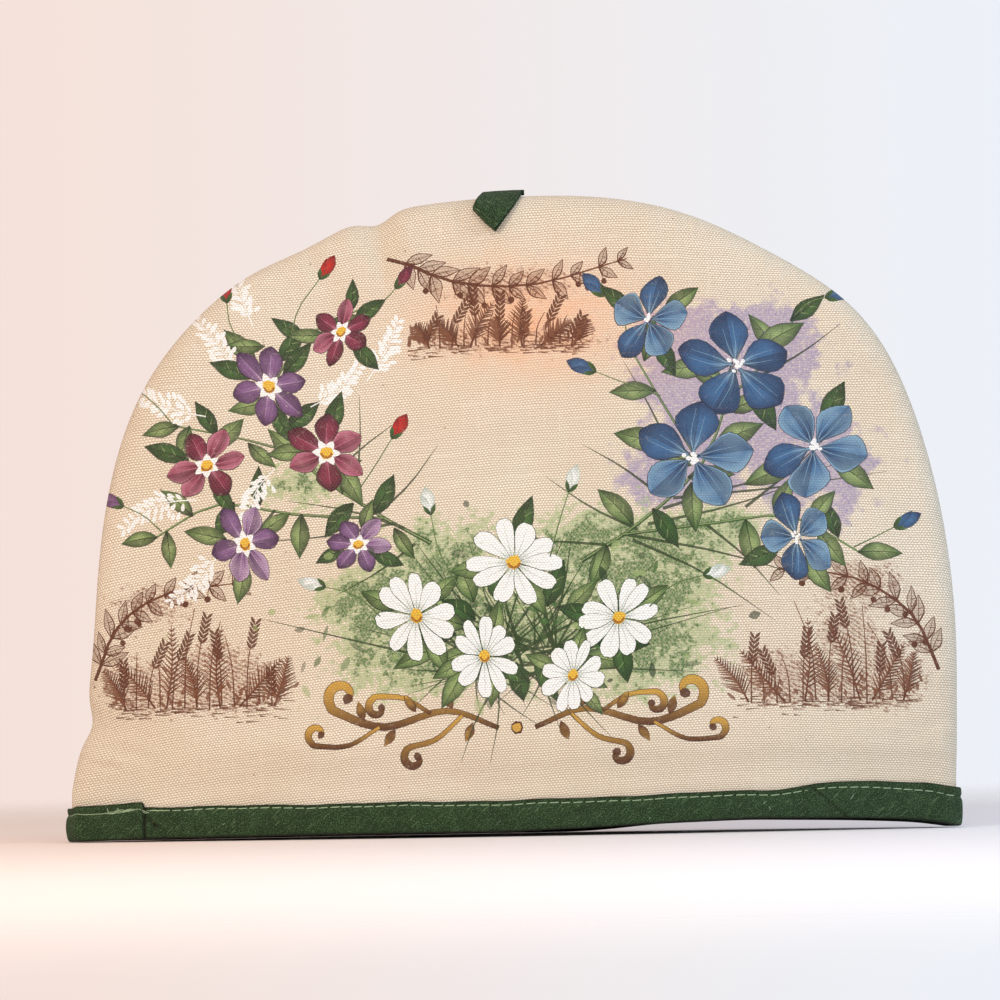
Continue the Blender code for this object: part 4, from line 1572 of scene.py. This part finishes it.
class Tree:
    """Short ways to add nodes to a material or world."""

    def __init__(self, owner):
        owner.use_nodes = True
        self.nodes = owner.node_tree.nodes
        self.links = owner.node_tree.links

    def set_input(self, socket, value):
        if isinstance(value, bpy.types.NodeSocket):
            self.links.new(value, socket)
        elif socket.type == "RGBA":
            socket.default_value = (*value[:3], 1.0)
        else:
            socket.default_value = value

    def fill(self, node, inputs):
        for name, value in inputs.items():
            self.set_input(node.inputs[name], value)

    def node(self, kind, inputs=(), **settings):
        made = self.nodes.new(kind)
        for name, value in settings.items():
            setattr(made, name, value)
        self.fill(made, dict(inputs))
        return made

    def math(self, operation, *values):
        made = self.node("ShaderNodeMath", operation=operation)
        for socket, value in zip(made.inputs, values):
            self.set_input(socket, value)
        return made.outputs[0]

    def plus(self, first, second):
        return self.math("ADD", first, second)

    def times(self, first, second):
        return self.math("MULTIPLY", first, second)

    def times_plus(self, first, second, third):
        return self.math("MULTIPLY_ADD", first, second, third)

    def ramp(self, value, low, high, to_low=0.0, to_high=1.0):
        inputs = {"Value": value, "From Min": low, "From Max": high, "To Min": to_low, "To Max": to_high}
        return self.node("ShaderNodeMapRange", inputs, interpolation_type="SMOOTHSTEP").outputs["Result"]

    def mix(self, share, first, second):
        made = self.node("ShaderNodeMix", {"Factor": share}, data_type="RGBA", clamp_factor=True)
        colours = [socket for socket in made.inputs if socket.type == "RGBA"]
        for socket, value in zip(colours, (first, second)):
            self.set_input(socket, value)
        return next(socket for socket in made.outputs if socket.type == "RGBA")

    def tinted(self, colour, *tints):
        """colour with others laid over it, each by a value and the ends of its ramp."""
        for value, *ends, tint in tints:
            colour = self.mix(self.ramp(value, *ends), colour, tint)
        return colour

    def noise(self, vector, scale, detail=2.0, roughness=0.5):
        inputs = {"Vector": vector, "Scale": scale, "Detail": detail, "Roughness": roughness}
        return self.node("ShaderNodeTexNoise", inputs).outputs[0]

    def stretched(self, vector, factors):
        made = self.node("ShaderNodeVectorMath", {0: vector, 1: factors}, operation="MULTIPLY")
        return made.outputs["Vector"]

    def attribute(self, name):
        return self.node("ShaderNodeAttribute", attribute_name=name)

    def cloth(self):
        """Places on the cloth, in millimetres."""
        return self.attribute("cloth").outputs["Vector"]

    def split(self, vector):
        return self.node("ShaderNodeSeparateXYZ", {"Vector": vector}).outputs

    def random_by(self, value):
        """A steady random number for each whole number."""
        return self.node("ShaderNodeTexWhiteNoise", {"W": value}, noise_dimensions="1D").outputs["Value"]

    def bump(self, height, strength, distance):
        inputs = {"Height": height, "Strength": strength, "Distance": distance}
        return self.node("ShaderNodeBump", inputs).outputs["Normal"]


def new_material(name):
    material = bpy.data.materials.new(name)
    tree = Tree(material)
    return material, tree, tree.nodes["Principled BSDF"]


def plain_weave(tree, place, warp_pitch, weft_pitch, warp_height):
    """Height of a plain weave and its threads' tone.

    Threads wander a little, and each crossing stands up as a small oval. Warp crossings are lower.
    """
    wander = tree.noise(place, 0.12, 1)
    x, z, _ = tree.split(place)
    x = tree.times_plus(wander, 0.9, x)
    z = tree.times_plus(wander, 1.1, z)
    counts = (tree.math("DIVIDE", x, warp_pitch), tree.math("DIVIDE", z, weft_pitch))
    warp_wave, weft_wave = (
        tree.math("ABSOLUTE", tree.math("SINE", tree.times(count, math.pi))) for count in counts
    )
    warp_number, weft_number = (tree.math("FLOOR", count) for count in counts)
    weft_up = tree.math("PINGPONG", tree.plus(warp_number, weft_number), 1)
    warp_up = tree.math("SUBTRACT", 1, weft_up)
    low = tree.times(tree.math("POWER", warp_wave, 0.5), tree.math("POWER", weft_wave, 1.1))
    high = tree.times(tree.math("POWER", weft_wave, 0.8), tree.times_plus(warp_wave, 0.35, 0.65))
    height = tree.times_plus(tree.times(low, warp_height), warp_up, tree.times(high, weft_up))
    warp_tone = tree.times(tree.random_by(warp_number), warp_up)
    weft_tone = tree.random_by(tree.plus(weft_number, 517.3))
    return height, tree.times_plus(weft_tone, weft_up, warp_tone)


def thick_threads(tree, place):
    """Slubs: short lengths where a thread is thick, level ones and a few upright ones."""
    level = tree.noise(tree.stretched(place, (0.055, 0.95, 1)), 1, 1)
    upright = tree.noise(tree.stretched(place, (0.8, 0.04, 1)), 1, 1)
    return tree.plus(tree.ramp(level, 0.6, 0.76), tree.ramp(upright, 0.64, 0.8))


def seed_flecks(tree, place):
    """Specks of cotton seed: about one in twenty cells of the cloth has one."""
    cells = tree.node("ShaderNodeTexVoronoi", {"Vector": place, "Scale": 0.21, "Randomness": 1.0})
    near = tree.ramp(cells.outputs["Distance"], 0.075, 0.045)
    red, _, _ = tree.node("ShaderNodeSeparateColor", {"Color": cells.outputs["Color"]}).outputs
    return tree.times(near, tree.math("GREATER_THAN", red, 0.9))


def canvas_material(name, sizes, colours, printed):
    material, tree, shader = new_material(name)
    place = tree.cloth()
    height, tone = plain_weave(tree, place, sizes.warp_pitch / MM, sizes.weft_pitch / MM, 0.38)
    slubs = thick_threads(tree, place)
    patches = tree.noise(place, 0.014, 3, 0.6)
    grain = tree.noise(place, 1.3, 2, 0.6)

    # Patches, then painted shade in the low places between the threads, then the threads' own random tone.
    cream = tree.tinted(
        colours.canvas_shade, (patches, 0.3, 0.7, colours.canvas),
        (tree.times_plus(grain, 0.22, height), 0.08, 0.62, 1, 0, colours.canvas_tone_and_gap_shade),
        (tone, 0, 1, 0.08, 0, colours.canvas_tone_and_gap_shade),
    )
    cream = tree.mix(tree.times(slubs, 0.14), cream, colours.canvas_light)
    cream = tree.mix(tree.times(seed_flecks(tree, place), 0.8), cream, colours.fleck)
    if printed:
        cream = print_over(tree, place, cream, height, colours)
    raised = tree.times_plus(grain, 0.3, tree.times_plus(slubs, 0.15, height))
    tree.fill(shader, {
        "Base Color": cream, "Roughness": tree.ramp(height, 0, 1, 0.96, 0.82),
        "Normal": tree.bump(raised, 0.75, 0.00024), "Specular IOR Level": 0.2,
        "Sheen Weight": 0.08, "Sheen Roughness": 0.5,
    })
    return material


def print_over(tree, place, cream, height, colours):
    """Loose washes first, broken up as a sponge leaves them, then the painted shapes."""
    washes = tree.attribute("washes")
    fields = tree.node("ShaderNodeSeparateColor", {"Color": washes.outputs["Color"]}).outputs
    dabs = tree.noise(place, 0.11, 4, 0.6)
    fine = tree.noise(place, 0.36, 4, 0.65)
    small = tree.noise(place, 1, 2, 0.6)
    soak = tree.ramp(height, 0, 0.9, 0.62, 1)

    mauve = tree.plus(fields[0], tree.times_plus(dabs, 2.4, -1.6))
    grainy = tree.ramp(small, 0.3, 0.62, 0.45, 1)
    wash = tree.times(tree.times(tree.ramp(mauve, 0.1, 0.5), grainy), soak)
    cream = tree.mix(wash, cream, tree.mix(fine, colours.mauve_wash, colours.mauve_wash_deep))

    blush = tree.times(fields[2], tree.ramp(dabs, 0.2, 0.75, 0.5, 1))
    cream = tree.mix(tree.times(blush, soak), cream, colours.blush)

    loose = tree.times_plus(fine, 1.9, tree.times_plus(dabs, 2, -2.3))
    green = tree.plus(fields[1], loose)
    pale = tree.times(tree.ramp(green, 0.14, 0.4), tree.ramp(small, 0.25, 0.62, 0.25, 0.9))
    cream = tree.mix(tree.times(pale, soak), cream, colours.green_wash)
    deep = tree.times(tree.ramp(green, 0.58, 0.78), tree.ramp(small, 0.3, 0.6, 0.35, 1))
    cream = tree.mix(tree.times(deep, soak), cream, colours.green_wash_deep)

    x, z, _ = tree.split(place)
    slanting = tree.times_plus(x, 2.2, tree.times(z, 3.4))
    slanting = tree.times_plus(dabs, 24, slanting)
    hatching = tree.ramp(tree.math("SINE", slanting), -0.2, 0.5, 0.3, 1)
    bushes = tree.plus(washes.outputs["Alpha"], tree.times_plus(fine, 2.6, -1.75))
    bushes = tree.times(tree.ramp(bushes, 0.06, 0.4), tree.ramp(small, 0.34, 0.58, 0.15, 1))
    cream = tree.mix(tree.times(tree.times(bushes, hatching), soak), cream, colours.sepia)

    paint = tree.attribute("print")
    mottled = tree.times_plus(fine, 0.55, tree.times(small, 0.45))
    # The print is mottled at random, and darkened in the weave's low places with painted shade between the
    # threads.
    shaded = tree.tinted(
        paint.outputs["Color"], (mottled, 0.52, 0.72, 0.0, 0.32, cream),
        (mottled, 0.46, 0.3, 0, 0.3, (0.01, 0.01, 0.015)), (height, 0, 0.8, 0.34, 0, (0.02, 0.02, 0.02)),
    )
    cover = tree.times(paint.outputs["Alpha"], tree.ramp(height, 0, 0.5, 0.86, 1))
    return tree.mix(cover, cream, shaded)


def lining_material(colours):
    """Smooth unprinted cotton."""
    material, tree, shader = new_material("lining-cotton")
    place = tree.cloth()
    height, tone = plain_weave(tree, place, 0.5, 0.5, 0.9)
    patches = tree.noise(place, 0.03, 2)
    # Painted shade in the low places between the threads, then patches.
    colour = tree.tinted(
        colours.lining, (height, 0.0, 0.8, 0.5, 0.0, colours.canvas_tone_and_gap_shade),
        (patches, 0.3, 0.7, 0, 0.3, colours.canvas_shade),
    )
    tree.fill(shader, {
        "Base Color": colour, "Roughness": tree.ramp(tone, 0, 1, 0.82, 0.95),
        "Normal": tree.bump(height, 0.4, 0.0001),
    })
    return material


def binding_material(colours):
    """Green cotton cut on the slant: crossing fine threads, fuzz, light thread streaks, and painted shade
    between threads, in folds and in grooves.
    """
    material, tree, shader = new_material("green-cotton")
    place = tree.cloth()
    x, z, _ = tree.split(place)
    wander = tree.noise(place, 0.3, 2)
    rising = tree.times_plus(wander, 0.8, tree.plus(x, z))
    falling = tree.times_plus(wander, -0.8, tree.math("SUBTRACT", x, z))
    slant = tree.node("ShaderNodeCombineXYZ", {"X": rising, "Y": falling}).outputs[0]
    height, tone = plain_weave(tree, slant, 0.66, 0.66, 0.8)
    patches = tree.noise(place, 0.16, 3, 0.6)
    speckle = tree.noise(place, 1.9, 2, 0.7)
    up_breaks = tree.noise(tree.stretched(slant, (1.5, 0.1, 1)), 1, 2)
    down_breaks = tree.noise(tree.stretched(slant, (0.1, 1.5, 1)), 1, 2)
    painted_shade = tree.attribute("painted_shade").outputs["Fac"]

    # Patches, random dark speckle, painted shade in the weave's low places, then fuzz and light thread
    # streaks.
    colour = tree.tinted(
        colours.green_deep, (patches, 0.3, 0.7, colours.green),
        (speckle, 0.4, 0.62, 0.75, 0, colours.green_speckle_and_gap_shade), (height, 0.1, 0.8, 0.5, 0, colours.green_speckle_and_gap_shade),
        (speckle, 0.52, 0.72, 0, 0.5, colours.green_light),
        (down_breaks, 0.6, 0.72, 0, 0.55, colours.green_light),
        (up_breaks, 0.66, 0.78, 0, 0.35, colours.green_light),
    )
    # Painted shade along the join, at the lap's end, in the wrinkles and along the top and bottom folds.
    colour = tree.mix(tree.times(painted_shade, 0.85), colour, colours.green_painted_shade)
    raised = tree.times_plus(tone, 0.2, tree.times_plus(speckle, 0.9, height))
    tree.fill(shader, {
        "Base Color": colour, "Roughness": tree.ramp(speckle, 0.3, 0.7, 0.94, 0.78),
        "Normal": tree.bump(raised, 0.9, 0.0002), "Specular IOR Level": 0.15,
        "Sheen Weight": 0.06, "Sheen Roughness": 0.45,
    })
    return material


def thread_material(name, light, dark):
    """Two-ply sewing thread: slanting plies and a slight shine."""
    material, tree, shader = new_material(name)
    place = tree.cloth()
    run, turn, _ = tree.split(place)
    ply = tree.math("SINE", tree.times_plus(run, 11, tree.times(turn, 2)))
    shade = tree.noise(place, 1.1, 2)
    # The colour is darkened between the plies with painted shade, and at random by a noise.
    tree.fill(shader, {
        "Base Color": tree.tinted(light, (ply, -0.9, 0.4, 0.6, 0, dark), (shade, 0.35, 0.7, 0, 0.35, dark)),
        "Roughness": tree.ramp(ply, -1, 1, 0.75, 0.5), "Normal": tree.bump(ply, 0.5, 0.00006),
    })
    return material


# --- The stage ---

SENSOR_WIDTH = 36.0


def build_floor(stage):
    """A wide pale disc that fades into the surroundings, tinted with painted warm light on the left and
    painted cool light on the right.
    """
    bpy.ops.mesh.primitive_circle_add(
        vertices=96, radius=stage.floor_radius, fill_type="NGON", location=(0, 0, -0.0002)
    )
    floor = bpy.context.active_object
    floor.name = "floor"
    material, tree, shader = new_material("pale-floor")
    where = tree.node("ShaderNodeTexCoord").outputs["Object"]
    away = tree.node("ShaderNodeVectorMath", {0: where}, operation="LENGTH").outputs["Value"]
    speckle = tree.noise(where, 60, 2)
    x, _, _ = tree.split(where)
    # Painted light: a warm tint on the left and a cool tint on the right.
    colour = tree.tinted(stage.floor_warm_light, (x, -0.25, 0.25, stage.floor_cool_light))
    tree.fill(shader, {
        "Base Color": tree.mix(tree.times(speckle, 0.02), colour, (0.7, 0.7, 0.7)),
        "Roughness": tree.ramp(speckle, 0.3, 0.7, 0.8, 0.9),
        "Alpha": tree.ramp(away, 0.3, stage.floor_radius * 0.9, 1, 0),
    })
    floor.data.materials.append(material)


def build_surroundings(stage):
    """Even pale light from all round, warm from the left and cool from the right."""
    world = bpy.data.worlds.new("pale-room")
    bpy.context.scene.world = world
    tree = Tree(world)
    x, y, _ = tree.split(tree.node("ShaderNodeTexCoord").outputs["Generated"])
    left = tree.tinted(stage.room_far_left, (x, -1, -0.1, stage.room_left))
    right = tree.tinted(stage.room_right, (x, 0.1, 1, stage.room_far_right))
    front = stage.room_strength * stage.front_share
    tree.fill(tree.nodes["Background"], {
        "Color": tree.tinted(left, (x, -0.09, 0.09, right)),
        "Strength": tree.ramp(y, -0.6, 0.3, front, stage.room_strength),
    })


def add_lamp(name, location, target, size, power, colour):
    lamp = bpy.data.lights.new(name, "AREA")
    lamp.shape = "DISK"
    lamp.size = size
    lamp.energy = power
    lamp.color = colour
    holder = bpy.data.objects.new(name, lamp)
    bpy.context.scene.collection.objects.link(holder)
    holder.location = location
    away = Vector(target) - Vector(location)
    holder.rotation_euler = away.to_track_quat("-Z", "Y").to_euler()


def build_camera(stage):
    lens = bpy.data.cameras.new("camera")
    lens.lens = stage.camera_lens
    lens.sensor_width = SENSOR_WIDTH
    camera = bpy.data.objects.new("camera", lens)
    bpy.context.scene.collection.objects.link(camera)
    bpy.context.scene.camera = camera
    distance = stage.picture_width * stage.camera_lens / SENSOR_WIDTH
    target = Vector(stage.camera_target)
    place = Vector((target.x, target.y - distance, stage.camera_height))
    turn = (target - place).to_track_quat("-Z", "Y") @ Quaternion((0, 0, 1), -stage.camera_roll)
    camera.location = place
    camera.rotation_euler = turn.to_euler()
    lens.clip_start = 0.05
    lens.clip_end = 20.0


# --- Settings ---


def colour_setting(name, description, value):
    return FloatVectorProperty(
        name=name, description=description, subtype="COLOR", size=3, min=0.0, max=1.0, default=tuple(value)
    )


def length_setting(name, description, value):
    kind = {"subtype": "DISTANCE", "unit": "LENGTH", "min": 0.0, "precision": 5}
    return number_setting(name, description, value, **kind)


def number_setting(name, description, value, **kind):
    return FloatProperty(name=name, description=description, default=value, **kind)


class CosySizes(bpy.types.PropertyGroup):
    """Sizes of the cloth's detail"""

    warp_pitch: length_setting("Warp pitch", "Distance between the canvas's upright threads", 0.00063)
    weft_pitch: length_setting("Weft pitch", "Distance between the canvas's level threads", 0.00095)
    front_spacing: length_setting("Front point spacing", "Distance between points of the front", 0.0022)
    back_spacing: length_setting("Back point spacing", "Distance between points of the back", 0.0024)
    stitch_pitch: length_setting("Stitch pitch", "Length of one topstitch with its gap", 0.0045)
    stitch_thread: length_setting("Stitch thread", "Thickness of the topstitching thread", 0.00038)


class CosyColours(bpy.types.PropertyGroup):
    """Colours of the cloth, its washes and threads"""

    canvas: colour_setting("Canvas", "Cream of the canvas", srgb(236, 227, 208))
    canvas_shade: colour_setting("Canvas shade", "Its slightly darker patches", srgb(231, 219, 198))
    # Painted shade between the canvas's threads, and the darker tone of some threads.
    canvas_tone_and_gap_shade: colour_setting("Canvas deep", "Between its threads", srgb(156, 130, 104))
    canvas_light: colour_setting("Canvas light", "Its thick threads", srgb(248, 238, 220))
    fleck: colour_setting("Seed fleck", "Specks of cotton seed", srgb(88, 64, 42))
    lining: colour_setting("Lining", "Lining of the hollow", srgb(232, 224, 210))
    mauve_wash: colour_setting("Mauve wash", "Loose wash round the blue flowers", srgb(170, 156, 182))
    mauve_wash_deep: colour_setting("Deep mauve wash", "Its darker dabs", srgb(122, 110, 154))
    green_wash: colour_setting("Green wash", "Loose foliage", srgb(152, 174, 118))
    green_wash_deep: colour_setting("Deep green wash", "Darker dabs of foliage", srgb(62, 98, 50))
    sepia: colour_setting("Sepia", "Brown of the drawn thickets", srgb(118, 60, 36))
    blush: colour_setting("Blush", "Peach wash high in the middle", srgb(234, 168, 124))
    green: colour_setting("Binding", "Green of the binding", srgb(58, 86, 52))
    green_deep: colour_setting("Binding shade", "Its darker patches", srgb(46, 68, 40))
    # Painted shade between the binding's threads and plies, and its random dark speckle.
    green_speckle_and_gap_shade: colour_setting("Binding deep", "Between its threads", srgb(22, 34, 18))
    green_light: colour_setting("Binding light", "Its fuzz and lighter threads", srgb(124, 150, 106))
    # Painted shade in the binding's folds, grooves and join, and along its top and bottom folds.
    green_painted_shade: colour_setting("Binding folds", "Its folds and grooves", srgb(24, 17, 10))
    thread: colour_setting("Topstitch thread", "Pale green thread", srgb(186, 206, 168))
    thread_deep: colour_setting("Thread shade", "Between its plies", srgb(120, 146, 106))


class StageSettings(bpy.types.PropertyGroup):
    """Floor, light and camera"""

    floor_radius: length_setting("Floor radius", "Size of the floor disc", 1.7)
    # Painted light: the floor's tint, warm on the left and cool on the right.
    floor_warm_light: colour_setting("Floor left", "Warm side of the floor", (0.88, 0.71, 0.61))
    floor_cool_light: colour_setting("Floor right", "Cool side of the floor", (0.8, 0.82, 0.88))
    room_left: colour_setting("Room left", "Warm light from the left", srgb(252, 232, 223))
    room_right: colour_setting("Room right", "Cool light from the right", srgb(243, 248, 255))
    room_far_left: colour_setting("Room far left", "Light from the far left", srgb(206, 160, 132))
    room_far_right: colour_setting("Room far right", "Light from the far right", srgb(158, 180, 204))
    room_strength: number_setting("Room strength", "Strength of the light all round", 0.94)
    front_share: number_setting("Front share", "How bright the room is before the front", 0.7)
    key_power: number_setting("Key power", "Warm lamp on the left", 12.2, unit="POWER")
    cool_power: number_setting("Cool power", "Cool lamp on the right", 9.0, unit="POWER")
    top_power: number_setting("Top power", "Soft lamp above the front", 5.8, unit="POWER")
    camera_lens: number_setting("Lens", "Focal length in millimetres", 250.0, min=1.0)
    camera_height: length_setting("Camera height", "Height of the camera over the floor", 0.05)
    camera_roll: number_setting("Camera roll", "Turn about the line of sight", 0.017453, subtype="ANGLE")
    camera_target: FloatVectorProperty(
        name="Camera target", description="Point in the middle of the picture", subtype="TRANSLATION", size=3,
        default=(-0.003, 0.0, 0.1307),
    )
    picture_width: length_setting("Picture width", "Width of the view at the target", 0.391)


# --- Operators ---


class COSY_OT_front(bpy.types.Operator):
    """Builds the padded, printed front"""

    bl_idname = "cosy.front"
    bl_label = "Front"

    def execute(self, context):
        sizes, colours = context.scene.cosy_sizes, context.scene.cosy_colours
        materials = [canvas_material("printed-canvas", sizes, colours, True), lining_material(colours)]
        piece = build_panel("front-cloth", FRONT, sizes.front_spacing / MM, garden_print(), materials)
        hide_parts("front_panel")
        return {"FINISHED"}


class COSY_OT_back(bpy.types.Operator):
    """Builds the padded, plain back"""

    bl_idname = "cosy.back"
    bl_label = "Back"

    def execute(self, context):
        sizes, colours = context.scene.cosy_sizes, context.scene.cosy_colours
        materials = [canvas_material("plain-canvas", sizes, colours, False), lining_material(colours)]
        piece = build_panel("back-cloth", BACK, sizes.back_spacing / MM, None, materials)
        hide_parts("back_panel")
        return {"FINISHED"}


class COSY_OT_binding(bpy.types.Operator):
    """Builds the bound hem with its stitching"""

    bl_idname = "cosy.binding"
    bl_label = "Binding"

    def execute(self, context):
        sizes, colours = context.scene.cosy_sizes, context.scene.cosy_colours
        piece = build_binding(binding_material(colours))
        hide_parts("hem_binding")
        thread = thread_material("pale-thread", colours.thread, colours.thread_deep)
        stitches = build_topstitching(sizes, thread)
        dark = thread_material("green-thread", colours.green, colours.green_speckle_and_gap_shade)
        joins = build_join_stitches(dark)
        return {"FINISHED"}


class COSY_OT_loop(bpy.types.Operator):
    """Builds the hanging loop in the top seam"""

    bl_idname = "cosy.loop"
    bl_label = "Loop"

    def execute(self, context):
        colours = context.scene.cosy_colours
        material = binding_material(colours)
        material.name = "loop-twill"
        piece = build_loop(material)
        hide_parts("hanging_loop")
        return {"FINISHED"}


class COSY_OT_stage(bpy.types.Operator):
    """Sets up the floor, light and camera"""

    bl_idname = "cosy.stage"
    bl_label = "Stage"

    def execute(self, context):
        stage = context.scene.cosy_stage
        build_floor(stage)
        build_surroundings(stage)
        target = (0.0, 0.0, 0.12)
        add_lamp("warm-lamp", (-0.75, -1.35, 0.62), target, 0.45, stage.key_power, (1.0, 0.95, 0.88))
        add_lamp("cool-lamp", (1.4, -0.5, 0.6), target, 0.6, stage.cool_power, (0.66, 0.84, 1.0))
        add_lamp("top-lamp", (0.1, -1.3, 0.95), target, 0.9, stage.top_power, (1.0, 0.98, 0.94))
        build_camera(stage)
        context.scene.view_settings.view_transform = "Standard"
        return {"FINISHED"}


class COSY_PT_panel(bpy.types.Panel):
    """Settings and building steps of the tea cosy"""

    bl_label = "Tea Cosy"
    bl_idname = "COSY_PT_panel"
    bl_space_type = "VIEW_3D"
    bl_region_type = "UI"
    bl_category = "Tea Cosy"

    def draw(self, context):
        for name in ("cosy_sizes", "cosy_colours", "cosy_stage"):
            group = getattr(context.scene, name)
            box = self.layout.box()
            for setting in group.bl_rna.properties:
                if setting.identifier not in ("rna_type", "name"):
                    box.prop(group, setting.identifier)
        for step in ("front", "back", "binding", "loop", "stage"):
            self.layout.operator(f"cosy.{step}")


CLASSES = (
    CosySizes, CosyColours, StageSettings, COSY_OT_front, COSY_OT_back, COSY_OT_binding, COSY_OT_loop,
    COSY_OT_stage, COSY_PT_panel,
)


def register():
    for made in CLASSES:
        bpy.utils.register_class(made)
    bpy.types.Scene.cosy_sizes = PointerProperty(type=CosySizes)
    bpy.types.Scene.cosy_colours = PointerProperty(type=CosyColours)
    bpy.types.Scene.cosy_stage = PointerProperty(type=StageSettings)


def unregister():
    del bpy.types.Scene.cosy_sizes, bpy.types.Scene.cosy_colours, bpy.types.Scene.cosy_stage
    for made in reversed(CLASSES):
        bpy.utils.unregister_class(made)


def main():
    register()
    bpy.ops.cosy.front()
    bpy.ops.cosy.back()
    bpy.ops.cosy.binding()
    bpy.ops.cosy.loop()
    bpy.ops.cosy.stage()


if __name__ == "__main__":
    main()
